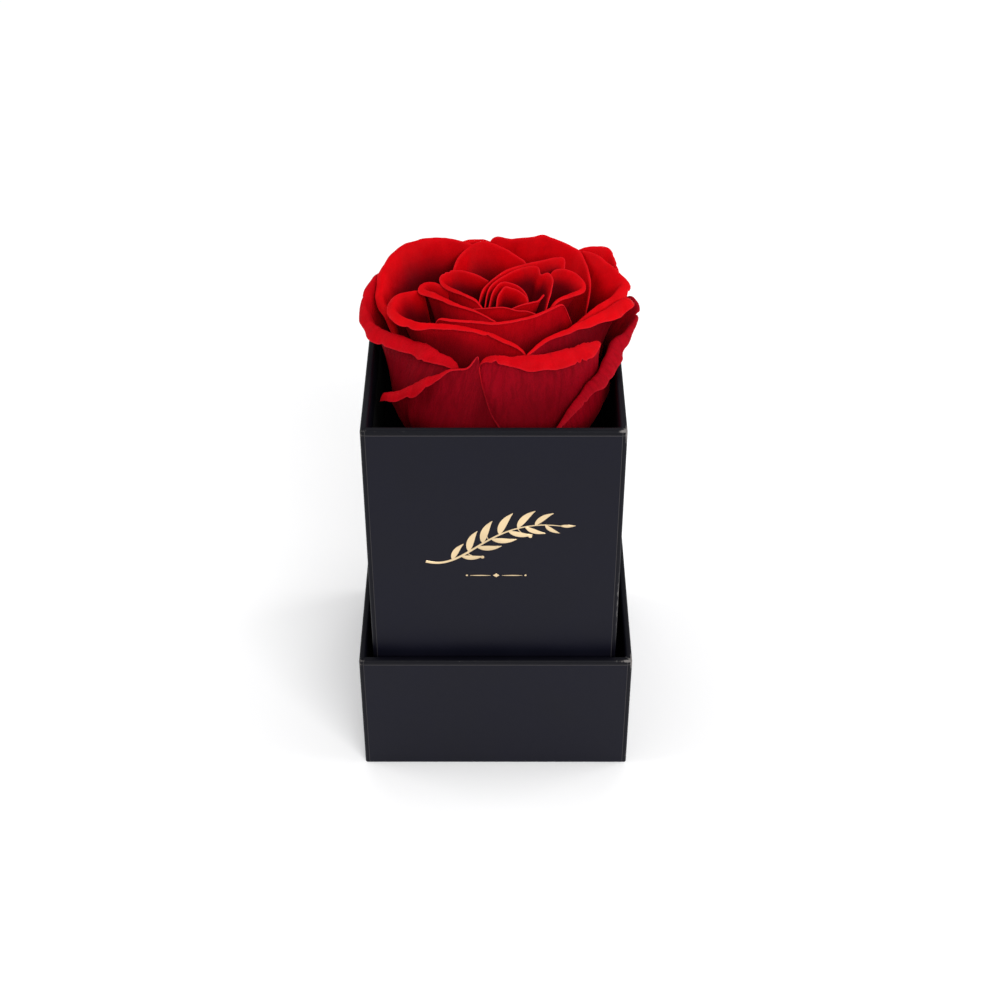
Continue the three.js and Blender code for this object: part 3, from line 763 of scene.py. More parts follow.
def square_path(half, radius, inset):
    """Points round a square with rounded corners, as shares of the half width and the radius.

    Gives the share of the flat, the outward direction, whether the point lies on the front or
    back paper, how near it is to an upright edge, and whether it is on a mitre line or a seam.
    """
    seam = (half - inset) / (half - radius)
    step = 0.00003 / half
    inner = np.linspace(-seam + 0.03, seam - 0.03, SIDE_STEPS)
    line = 0.00012 / half
    left = [-seam - line, -seam - step, -seam + step, -seam + line]
    shares = [*left, *inner, *[-share for share in reversed(left)]]
    flats, outs, papers, edges, mitres, seams = [], [], [], [], [], []
    for side in range(4):
        turn = side * math.pi / 2
        along = np.array([math.cos(turn), math.sin(turn)])
        out = np.array([math.sin(turn), -math.cos(turn)])
        for k, share in enumerate(shares):
            flats.append(along * share + out)
            outs.append(out)
            papers.append(1.0 if side % 2 == 0 and abs(share) < seam else 0.0)
            edges.append(0.0)
            mitres.append(0.0)
            seams.append(1.0 if side % 2 == 0 and abs(abs(share) - seam) < 0.5 * line else 0.0)
        for k in range(ARC_STEPS + 1):
            lean = turn - math.pi / 2 + math.pi / 2 * k / ARC_STEPS
            flats.append(along + out)
            outs.append(np.array([math.cos(lean), math.sin(lean)]))
            papers.append(0.0)
            edges.append(math.sin(math.pi * (k + 1) / (ARC_STEPS + 2)))
            mitres.append(1.0 if k == ARC_STEPS // 2 else 0.0)
            seams.append(0.0)
    return tuple(np.array(values) for values in (flats, outs, papers, edges, mitres, seams))


def cover_section(top, bottom, wall, paper, radius, fold_end):
    """The section of a cover, from its lower edge up, over the rim and down inside.

    Each row is: depth in from the outside, height, outward and upward parts of its direction,
    how near it is to the edge of the rim, whether it is above the fold, where painted shade goes,
    and on the fold's line, where a painted highlight line goes.
    """
    rows = []
    upright = top - radius
    fold = top - FOLD_BELOW_RIM
    for height in np.linspace(bottom, fold - 0.0008, 16):
        rows.append((0.0, height, 1.0, 0.0, 0.0, 0.0, 0.0))
    for below, depth, strip_shade, line in FOLD_ROWS:
        rows.append((depth, fold - below, 1.0, 0.0, 0.0, strip_shade, line))
    for k in range(9):
        lean = math.pi / 2 * k / 8
        near = math.sin(math.pi * (k + 1) / 10)
        across, rise = math.cos(lean), math.sin(lean)
        rows.append((radius - radius * across, upright + radius * rise, across, rise, near, 1.0, 0.0))
    for share in (0.3, 0.7):
        rows.append((radius + (wall - 2 * radius) * share, top, 0.0, 1.0, 0.0, 1.0, 0.0))
    for k in range(9):
        lean = math.pi / 2 * k / 8
        across, rise = math.sin(lean), math.cos(lean)
        near = 0.5 * math.sin(math.pi * (k + 1) / 10)
        depth = wall - radius + radius * across
        rows.append((depth, upright + radius * rise, -across, rise, near, 1.0, 0.0))
    for height in np.linspace(upright - 0.0006, fold_end, 5):
        rows.append((wall, height, -1.0, 0.0, 0.0, 0.5, 0.0))
    for depth, height in (
        (wall - paper, fold_end),
        (wall - paper, top - paper),
        (paper, top - paper),
        (paper, (top + bottom) / 2),
        (paper, bottom),
    ):
        rows.append((depth, height, 0.0, 0.0, 0.0, 0.0, 0.0))
    return np.array(rows)


def make_cover(name, low, high, lining_node, nodes, scuffs):
    """The cover paper of a tray: one skin that goes up outside, over the rim and down inside.

    A scuff is: its place in millimetres, its size in millimetres and how strong it is.
    """
    look = bpy.context.scene.rose_box
    half = (high.x - low.x) / 2
    middle = (high.x + low.x) / 2
    lining_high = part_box(lining_node)[1]
    wall = half - (lining_high.x - middle) + look.paper
    flats, outs, papers, edges, mitres, seams = square_path(half, look.edge_radius, look.seam_inset)
    section = cover_section(high.z, low.z, wall, look.paper, look.edge_radius, lining_high.z)
    seam_share = (half - look.seam_inset) / (half - look.edge_radius)
    # The strips between a seam and an upright edge get painted shade too.
    strip = (np.abs(flats).min(axis=1) > seam_share).astype(float)
    points, wear, scuff, strip_shade, highlight_lines = [], [], [], [], []
    for depth, height, outward, upward, near, above_fold, on_fold in section:
        size = half - depth
        radius = look.edge_radius + (0.0003 - look.edge_radius) * min(depth / wall, 1)
        ring = flats * (size - radius) + outs * radius
        proud = look.seam_step * papers * max(outward, 0)
        ring = ring + outs * proud[:, None]
        sink = 0.00016 * mitres * upward
        heights = height - sink
        points.append(np.column_stack([ring[:, 0] + middle, ring[:, 1], heights]))
        visible = 1.0 if abs(outward) + abs(upward) > 0 else 0.0
        wear.append(visible * np.maximum(near, edges * abs(outward)))
        near_scuff = np.zeros(len(ring))
        for x, y, z, size_mm, strength in scuffs:
            away = points[-1] - np.array([x, y, z]) * MM
            near_scuff += strength * np.exp(-np.sum(away**2, axis=1) / (size_mm * MM) ** 2)
        scuff.append(visible * near_scuff * np.maximum(near, np.maximum(edges, 0.35)))
        # Painted shade mask: the rim band above the fold and the edge strips.
        strip_shade.append(visible * np.maximum(above_fold, 0.8 * strip))
        # Painted highlight mask: the fold's line and the seams.
        highlight_lines.append(visible * np.maximum(on_fold, seams * outward))
    rows, columns = len(section), len(flats)
    index = np.arange(rows * columns).reshape(rows, columns)
    down = np.roll(index, -1, axis=0)
    faces = np.stack([index, np.roll(index, -1, axis=1), np.roll(down, -1, axis=1), down], axis=-1)
    values = {
        "edge_wear": np.concatenate(wear),
        "scuff": np.concatenate(scuff),
        "painted_edge_shade": np.concatenate(strip_shade),
        "fold_highlight": np.clip(np.concatenate(highlight_lines), 0, 1),
    }
    paper = known("satin_cover_paper", make_cover_paper)
    piece = make_piece(
        name, np.concatenate(points), faces.reshape(-1, 4).tolist(), paper, values, sharp=math.radians(50)
    )
    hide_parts(*nodes)
    return piece


def make_base_sheet(name, node):
    """The sheet of cover paper under a tray, with its corners and lower edge rounded."""
    look = bpy.context.scene.rose_box
    low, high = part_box(node)
    half = (high.x - low.x) / 2
    middle = (high.x + low.x) / 2
    flats, outs, _papers, edges, _mitres, _seams = square_path(half, look.edge_radius, look.seam_inset)
    turn = look.paper * 0.6
    rows = [(turn, 0.0), (turn * 0.3, turn * 0.3), (0.0, turn), (0.0, look.paper), (turn * 0.5, look.paper)]
    points = []
    for depth, height in rows:
        ring = flats * (half - look.edge_radius) + outs * (look.edge_radius - depth)
        points.append(np.column_stack([ring[:, 0] + middle, ring[:, 1], np.full(len(ring), low.z + height)]))
    columns = len(flats)
    index = np.arange(len(rows) * columns).reshape(len(rows), columns)
    here = index[:-1]
    above = index[1:]
    bands = np.stack([here, np.roll(here, -1, axis=1), np.roll(above, -1, axis=1), above], axis=-1)
    faces = bands.reshape(-1, 4).tolist() + [index[0][::-1].tolist(), index[-1].tolist()]
    wear = np.concatenate([edges * 0.8, edges, edges, edges * 0.3, edges * 0.0])
    plain = np.zeros(len(wear))
    values = {"edge_wear": wear, "scuff": plain, "painted_edge_shade": plain, "fold_highlight": plain}
    paper = known("satin_cover_paper", make_cover_paper)
    piece = make_piece(name, np.concatenate(points), faces, paper, values, sharp=math.radians(50))
    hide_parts(node)
    return piece


# ---- petals ----------------------------------------------------------------------------------
# Each petal, from the bud outwards: its fullest radius, the radius and height of its foot, and
# the line of its rim. A rim point is: degrees round from +X, distance from the leaning middle
# line, height above the foot of the head, then how far the lip rolls out and drops.
BUD_PETALS = {
    "petal_bud_core": (2.4, 1, 6, [
        (-6, 5.2, 50.5, 0.2, 0), (8, 4.4, 52.6, 0.2, 0), (30, 3.1, 53.6, 0.2, 0),
        (57, 2.7, 53.9, 0.2, 0), (90, 2.9, 54, 0.2, 0), (117, 3.5, 54.3, 0.2, 0),
        (150, 3.2, 53.6, 0.2, 0), (185, 3.5, 53, 0.2, 0), (214, 4.3, 50.5, 0.2, 0),
    ]),
    "petal_bud_curl": (4.2, 1.6, 6, [
        (245, 4.6, 50, 0.2, 0), (272, 4.7, 52, 0.2, 0), (300, 5, 53.1, 0.3, 0),
        (330, 6.8, 53.5, 0.4, 0.1), (341, 7.9, 53.5, 0.4, 0.1), (350, 9, 54.8, 0.4, 0.2),
    ]),
    "petal_bud_back": (5.5, 2, 5.5, [
        (10, 5.6, 50.5, 0.2, 0), (30, 4.9, 52.6, 0.2, 0), (62, 4.6, 53.8, 0.2, 0),
        (93, 5, 54.3, 0.2, 0), (115, 6.2, 54.2, 0.2, 0), (140, 5.6, 53.6, 0.2, 0),
        (168, 5.2, 53, 0.2, 0), (200, 6, 50.5, 0.2, 0),
    ]),
    "petal_bud_front": (6.8, 2.5, 5.5, [
        (192, 10.4, 50.6, 0.2, 0), (214, 7.6, 52.2, 0.3, 0), (238, 6.4, 53.2, 0.3, 0.1),
        (256, 6.1, 53.4, 0.3, 0.1), (285, 6.7, 52.9, 0.3, 0.1), (306, 7.8, 52.5, 0.3, 0),
        (324, 10.4, 51, 0.2, 0),
    ]),
}
HEART_PETALS = {
    "petal_heart_notched": (8.5, 3, 5, [
        (-26, 10.9, 51, 0.2, 0), (-8, 10.6, 52.8, 0.2, 0), (14, 11.6, 53.6, 0.2, 0),
        (34, 13.8, 54.2, 0.3, 0.1), (45, 14.4, 54.4, 0.3, 0.1), (51, 13.4, 53.7, 0.2, 0),
        (60, 14.7, 54.7, 0.3, 0.1), (76, 12.9, 54.6, 0.3, 0.1), (108, 8.7, 54, 0.3, 0.1),
        (150, 6.9, 53.5, 0.2, 0), (190, 6.8, 50.5, 0.2, 0),
    ]),
    "petal_heart_square": (10.4, 3.5, 4.5, [
        (41.5, 20.6, 49, 0.2, 0), (44, 21.2, 52.8, 0.2, 0), (48.5, 22.3, 55.1, 0.2, 0),
        (53, 21.2, 55.2, 0.3, 0.1), (62, 17.6, 55, 0.3, 0.1), (76, 14.4, 54.7, 0.4, 0.1),
        (98, 11.4, 54.3, 0.4, 0.1), (133, 8.8, 53.5, 0.3, 0.1), (160, 8.2, 53, 0.3, 0),
        (184, 8.6, 50.5, 0.2, 0),
    ]),
    "petal_heart_right": (9.4, 3.2, 4.8, [
        (-24, 11.4, 51, 0.5, 0.2), (0, 13, 52.2, 0.7, 0.4), (11, 16.9, 52.1, 1, 0.6),
        (17.5, 21.2, 51.9, 0.9, 0.6), (24, 22.2, 52.6, 0.5, 0.2), (33, 21.4, 53.5, 0.3, 0.1),
        (42, 19.6, 53.9, 0.3, 0.1), (46, 17.8, 53.6, 0.3, 0), (48, 16.2, 51.5, 0.2, 0),
    ]),
    "petal_heart_left": (12, 4, 4, [
        (118, 12.5, 51.3, 0.3, 0), (130, 15.4, 53, 0.3, 0), (140, 19.8, 53.7, 0.3, 0.1),
        (148, 21.6, 53.9, 0.3, 0.1), (153, 22, 53, 0.3, 0.1), (155.5, 20.8, 52.6, 0.7, 0.3),
        (159, 18.6, 52.5, 1, 0.5), (166, 14.3, 52.6, 0.9, 0.4), (180, 9.4, 52.2, 0.6, 0.2),
        (196, 7.6, 50.8, 0.3, 0.1),
    ]),
}
INNER_PETALS = {
    "petal_inner_left": (14.5, 4.6, 3.5, [
        (156, 18.5, 50.5, 0.3, 0), (159, 23, 52.5, 0.6, 0.2), (161.5, 25.2, 52.2, 1, 0.4),
        (165, 24.6, 51.9, 1.8, 0.8), (170, 21.4, 52.1, 1.6, 0.7), (178, 17.6, 52.1, 1.2, 0.5),
        (190, 13.9, 52, 0.8, 0.3), (212, 10, 51.6, 0.5, 0.2), (247, 9.2, 50.6, 0.4, 0.1),
    ]),
    "petal_inner_front": (16.5, 5.2, 3, [
        (196, 20.5, 46, 0.3, 0), (201, 20.6, 50.8, 0.5, 0.2), (210, 18.6, 51.8, 0.7, 0.3),
        (228, 15.2, 52.6, 0.7, 0.3), (257, 12.9, 53, 0.7, 0.3), (300, 11.3, 53.2, 0.7, 0.3),
        (330, 12.4, 53.3, 0.6, 0.3), (342, 14.4, 53.5, 0.5, 0.2), (347, 15.4, 52, 0.3, 0.1),
        (353, 17.6, 47, 0.3, 0.1), (359, 19.6, 41, 0.3, 0.1),
    ]),
    "petal_inner_back": (18.5, 5.6, 3, [
        (72, 18.5, 50, 0.3, 0), (78, 20.2, 52.2, 0.3, 0), (88, 22.2, 53.4, 0.3, 0),
        (98, 24.8, 54.5, 0.4, 0.1), (108, 27.4, 54.9, 0.5, 0.1), (118, 27.4, 53.4, 0.5, 0.1),
        (131, 23.8, 51, 0.4, 0.1), (138, 20.5, 46, 0.3, 0),
    ]),
}
MIDDLE_PETALS = {
    "petal_middle_left": (20, 6.2, 2.5, [
        (155, 24.6, 43, 0.3, 0), (160, 25.2, 48.4, 0.4, 0.1), (164, 26, 50.5, 0.6, 0.2),
        (168, 27.8, 51.1, 0.9, 0.3), (173, 31, 50.9, 1.8, 1), (181, 31.8, 50.4, 2.2, 1.5),
        (190, 30, 50.3, 2.2, 1.4), (200, 26, 50.6, 2, 1.1), (213, 19.7, 51.2, 1.5, 0.7),
        (238, 16.1, 51.4, 1.2, 0.5), (266, 17.5, 50.8, 1, 0.4), (281, 20.7, 49.2, 0.7, 0.3),
        (290, 20, 42, 0.3, 0.1),
    ]),
    "petal_middle_back": (23, 6.8, 2, [
        (8, 22.2, 43, 0.3, 0.1), (26, 25.4, 50, 0.4, 0.1), (42, 28.6, 52.6, 0.4, 0.1),
        (50, 29.8, 54.1, 0.5, 0.1), (60, 29.2, 55.2, 0.5, 0.1), (68, 28.9, 56, 0.5, 0.1),
        (72, 28.9, 56.3, 0.5, 0.1), (77, 28, 55.8, 0.5, 0.1), (90, 27.2, 55.2, 0.5, 0.1),
        (100, 28.6, 55, 0.5, 0.1), (104, 27.5, 50, 0.3, 0.1),
    ]),
    "petal_middle_right": (25, 7.4, 1.5, [
        (-28, 18.8, 48.6, 1.2, 0.9), (-4, 23, 50, 1.8, 1.6), (6, 27.6, 50.6, 2.2, 2.1),
        (13, 31.2, 51, 2.6, 2.2), (19, 33.8, 51.4, 2.2, 1.2), (24, 32.8, 52.7, 1.1, 0.4),
        (30, 31.6, 53.9, 0.7, 0.2), (38, 31.4, 54.3, 0.5, 0.1), (48, 31.2, 53.6, 0.4, 0.1),
        (60, 30.4, 50, 0.3, 0.1),
    ]),
}
OUTER_PETALS = {
    "petal_outer_front_right": (26.5, 8, 1, [
        (-80, 22, 46, 0.4, 0.2), (-76, 22, 49, 0.6, 0.3), (-58, 18.8, 50.2, 1, 0.5),
        (-38, 19.7, 50.5, 1.3, 0.8), (-21, 21.5, 50.6, 1.8, 1.4), (-8, 25.8, 50.6, 2.4, 2.2),
        (3, 29.8, 50.4, 2.8, 2.7), (9, 33.2, 50, 2.4, 2), (13, 34, 47, 0.6, 0.3),
    ]),
    "petal_outer_back_left": (27.5, 8.4, 0.5, [
        (104, 28.8, 51.4, 0.4, 0.1), (117, 28.8, 54.9, 0.6, 0.2), (127, 33, 55.9, 0.8, 0.2),
        (136, 36.8, 55.7, 1, 0.3), (144, 40, 53.8, 1.2, 0.5), (153, 39.8, 50.2, 1.6, 0.9),
        (163, 36.6, 46, 2, 1.3), (170, 33, 44, 1.6, 1), (176, 30, 38, 0.4, 0.2),
    ]),
    "petal_outer_sliver": (28.2, 8.6, 0.4, [
        (92, 30.2, 48, 0.6, 0.2), (100, 30.2, 52.6, 0.8, 0.2), (110, 31, 53.8, 0.8, 0.2),
        (118, 31.8, 53.2, 0.8, 0.2), (122, 33.2, 49, 0.6, 0.2),
    ]),
    "petal_outer_back_right": (28.5, 8.8, 0.2, [
        (22, 33.5, 45, 0.4, 0.1), (28, 35.2, 49.8, 0.5, 0.2), (35, 36.6, 51.7, 0.6, 0.2),
        (41, 37.4, 53.5, 0.6, 0.2), (43.5, 36.2, 54, 0.6, 0.2), (49, 32.8, 53.9, 0.5, 0.2),
        (53, 31.2, 52.4, 0.4, 0.1), (58, 31.6, 48, 0.3, 0.1),
    ]),
    "petal_outer_front": (30, 9.2, 0, [
        (-116, 23.4, 38, 0.3, 0.1), (-110, 22.4, 44.4, 0.5, 0.2), (-105, 22.5, 48, 1.2, 0.7),
        (-96, 22.9, 49.1, 2, 1.4), (-77, 23.8, 49.6, 3, 2.9), (-57, 25.2, 49.6, 3.4, 3.4),
        (-42, 26, 49, 3.2, 3.2), (-31, 26.9, 48.2, 2.2, 2), (-25, 27.6, 46.4, 0.8, 0.4),
        (-22, 27.6, 42, 0.3, 0.1),
    ]),
}
EDGE_PETALS = {
    "petal_edge_left": (30.5, 9.4, -0.2, [
        (143, 40, 44, 0.6, 0.2), (151, 41.6, 48.4, 0.8, 0.3), (160, 42, 47.4, 1, 0.5),
        (170, 40.6, 46.2, 1.4, 1), (179, 38, 45.4, 2.8, 1.6), (186, 34.8, 45.4, 4, 2),
        (195, 30, 45.8, 4, 2.2), (206, 26, 46, 3.8, 2.4), (222, 24.2, 46, 3.2, 2.2),
        (235, 23.6, 45, 2, 1.2), (241, 24, 41, 0.8, 0.3),
    ]),
    "petal_edge_front": (31.2, 9.6, -0.5, [
        (206, 36, 32.6, 2, 1.2), (213, 34, 35.6, 2.4, 2.2), (222, 31, 40, 2.6, 2.8),
        (230, 29, 43, 1.6, 1.4), (236, 27, 44.8, 0.6, 0.3), (245, 25.2, 45.6, 0.5, 0.2),
        (249.5, 23.2, 48.2, 0.3, -0.3), (253, 24.2, 44.6, 0.3, 0.1), (258, 26.6, 40.8, 0.3, 0.1),
        (265, 30.4, 35.6, 0.3, 0.1), (273, 33.2, 30.5, 0.3, 0.1),
    ]),
    "petal_edge_right": (31.4, 9.8, -0.8, [
        (-66, 33.6, 29, 0.4, 0.3), (-55, 31.6, 34.4, 1.6, 1), (-44, 30, 37.6, 2.8, 1.8),
        (-33, 30, 39.6, 3.4, 2.4), (-21, 30, 41.6, 3.8, 3), (-11, 30.4, 43, 3.4, 3),
        (-3, 33.4, 43.8, 2, 1.6), (4, 36.2, 44.2, 0.9, 0.5), (9, 37.4, 44.8, 0.6, 0.3),
        (14, 38, 45.6, 0.6, 0.2), (18.5, 36.8, 46.2, 0.5, 0.2), (24, 34.6, 42, 0.3, 0.1),
    ]),
}
GUARD_PETALS = {
    "petal_guard_back_left": (30.6, 9.9, -0.6, [
        (90, 33, 42, 0.6, 0.2), (98, 34.2, 46.5, 1, 0.4), (110, 35.4, 48.4, 1.4, 0.6),
        (122, 38, 49, 1.6, 0.8), (132, 41, 47.6, 1.4, 0.6), (139, 42, 42, 0.6, 0.2),
    ]),
    "petal_guard_back": (31.2, 10.1, -1, [
        (51, 37, 41, 0.6, 0.2), (57, 36.2, 46.4, 1, 0.5), (66, 35.4, 49.4, 1.6, 1),
        (78, 35.4, 50, 2, 1.4), (88, 36, 48.4, 1.4, 0.8), (96, 36.4, 42, 0.6, 0.2),
    ]),
    "petal_guard_right": (30.2, 10.2, -1.3, [
        (17, 31.6, 37, 0.5, 0.2), (23, 32.8, 41, 0.8, 0.3), (30, 36, 44.6, 1.2, 0.5),
        (38, 37.4, 45.4, 1.4, 0.6), (45, 37.2, 43.6, 1, 0.4), (49, 35.4, 39, 0.6, 0.2),
    ]),
    "petal_guard_front": (31.8, 10.4, -1.9, [
        (232, 34, 24, 0.5, 0.2), (244, 33, 29, 0.6, 0.2), (262, 32, 31, 0.6, 0.3),
        (280, 32, 31, 0.6, 0.3), (296, 33, 28, 0.6, 0.2), (306, 34, 23, 0.5, 0.2),
    ]),
}

# Small tears in a rim: degrees round, width and depth in millimetres.
NICKS = {
    "petal_outer_front": [(-98, 0.5, 1.1), (-49, 0.45, 0.8), (-45, 0.5, 1.0), (-41, 0.4, 0.6)],
    "petal_edge_front": [(226, 0.6, 0.5), (218, 0.8, 0.4)],
    "petal_heart_left": [(146, 0.5, 0.7), (149, 0.4, 0.5)],
    "petal_edge_right": [(8, 0.7, 1.2), (-30, 0.6, 0.5), (-48, 0.6, 0.6)],
    "petal_middle_left": [(196, 0.6, 0.4), (250, 0.5, 0.5)],
    "petal_outer_back_right": [(33, 0.5, 0.5), (38, 0.4, 0.4)],
    "petal_middle_right": [(16, 0.5, 0.6), (20, 0.4, 0.7), (24, 0.5, 0.5)],
    "petal_edge_left": [(190, 0.7, 0.6), (214, 0.6, 0.5), (165, 0.6, 0.5)],
}
# Creases that run down a petal: degrees round at the rim, width and depth in millimetres.
CREASES = {
    "petal_edge_front": [(256, 0.9, 0.7), (262, 1.0, -0.5), (240, 1.4, 0.4)],
    "petal_outer_front": [(-92, 1.1, 0.6), (-66, 1.6, -0.4), (-36, 1.2, 0.4)],
    "petal_edge_left": [(212, 1.3, 0.5), (228, 1.1, -0.5), (172, 1.5, 0.4)],
    "petal_edge_right": [(-38, 1.2, 0.5), (-12, 1.4, -0.4)],
    "petal_middle_right": [(2, 1.3, 0.35), (36, 1.4, -0.3)],
    "petal_middle_left": [(205, 1.4, 0.35)],
    "petal_middle_back": [(66, 1.5, -0.3), (84, 1.3, 0.3)],
}


def fade_in(value, low, high):
    """Rises smoothly from 0 to 1 between two values."""
    share = np.clip((value - low) / (high - low), 0, 1)
    return share * share * (3 - 2 * share)


def knots_of(points):
    """Knots spaced by the square root of each step, which keeps a curve from looping."""
    steps = np.sqrt(np.linalg.norm(np.diff(points[:, :3], axis=0), axis=1))
    return np.concatenate([[0.0], np.cumsum(steps)])


def smooth_curve(points, knots, at):
    """A smooth curve through uneven knots."""
    spans = np.diff(knots)
    slopes = np.diff(points, axis=0) / spans[:, None]
    leans = np.zeros_like(points)
    before, after = spans[:-1, None], spans[1:, None]
    leans[1:-1] = (slopes[:-1] * after + slopes[1:] * before) / (before + after)
    leans[0] = slopes[0]
    leans[-1] = slopes[-1]
    at = np.clip(at, knots[0], knots[-1])
    k = np.clip(np.searchsorted(knots, at, side="right") - 1, 0, len(knots) - 2)
    t = ((at - knots[k]) / spans[k])[:, None]
    span = spans[k][:, None]
    start = (2 * t**3 - 3 * t**2 + 1) * points[k] + (t**3 - 2 * t**2 + t) * span * leans[k]
    end = (3 * t**2 - 2 * t**3) * points[k + 1] + (t**3 - t**2) * span * leans[k + 1]
    return start + end


def middle_line(height):
    """The middle line of the head, which leans more and more towards the top."""
    share = np.asarray(height, float) / HEAD_TOP_MM
    share = share * np.abs(share)
    return np.stack([LEAN_MM[0] * share, LEAN_MM[1] * share], axis=-1)


def wall_room(turn, height):
    """How far out from the middle line a petal can swell before it would press into the box."""
    x, y = middle_line(height)
    cos = math.cos(turn)
    sin = math.sin(turn)
    room_x = (math.copysign(HEAD_BELLY_MM, cos) + BOX_SHIFT_MM - x) / (cos if abs(cos) > 1e-6 else 1e-6)
    room_y = (math.copysign(HEAD_BELLY_MM, sin) - y) / (sin if abs(sin) > 1e-6 else 1e-6)
    return min(room_x, room_y)


class Ripples:
    """A sum of a few seeded waves, used for every kind of unevenness in a petal."""

    def __init__(self, rng, lengths):
        self.waves = []
        for length in lengths:
            phase = rng.uniform(0, 2 * math.pi)
            skew = rng.uniform(-0.35, 0.35)
            share = rng.uniform(0.6, 1.0)
            self.waves.append((2 * math.pi / length, phase, skew, share))
        self.total = math.sqrt(sum(wave[3] ** 2 for wave in self.waves))

    def at(self, along, across=0.0):
        """The height of the waves, about -1 to 1, at a place given in millimetres."""
        value = 0.0
        for rate, phase, skew, share in self.waves:
            drift = 0.6 * np.sin(rate * 0.37 * across + phase * 2.3)
            value = value + share * np.sin(rate * (along + skew * across) + phase + drift)
        return value / self.total


# How far below the rim, in millimetres, a petal has sunk into shade: its face and its back.
SHADE_MM = {
    "petal_inner_left": (6, 9),
    "petal_inner_back": (13, 12),
    "petal_middle_left": (9, 10),
    "petal_middle_back": (20, 12),
    "petal_middle_right": (18, 10),
    "petal_outer_front_right": (12, 8),
    "petal_outer_back_left": (13, 28),
}
# How much of a petal's back stays bright where its neighbours keep the light off it.
SHADED_BACKS = {"petal_edge_front": 0.58, "petal_edge_left": 0.85}
# Between these degrees round the head a rim slips under its neighbour, into shade.
SHADED_ENDS = {"petal_edge_front": (250, 260)}
# Lips that are as dull as the back of their petal.
DULL_LIPS = {
    "petal_edge_right": 0.85,
    "petal_edge_left": 0.40,
    "petal_edge_front": 0.45,
    "petal_outer_front": 0.2,
}

# Distances in millimetres from the rim at which a petal has its rows; the rest are spread evenly.
RIM_ROWS = np.array([
    0, 0.05, 0.13, 0.24, 0.42, 0.7, 1.05, 1.45, 1.9, 2.4, 2.95,
    3.55, 4.2, 4.9, 5.65, 6.5, 7.5, 8.6, 9.8, 11.2, 12.8,
])
LOW_ROWS = 18


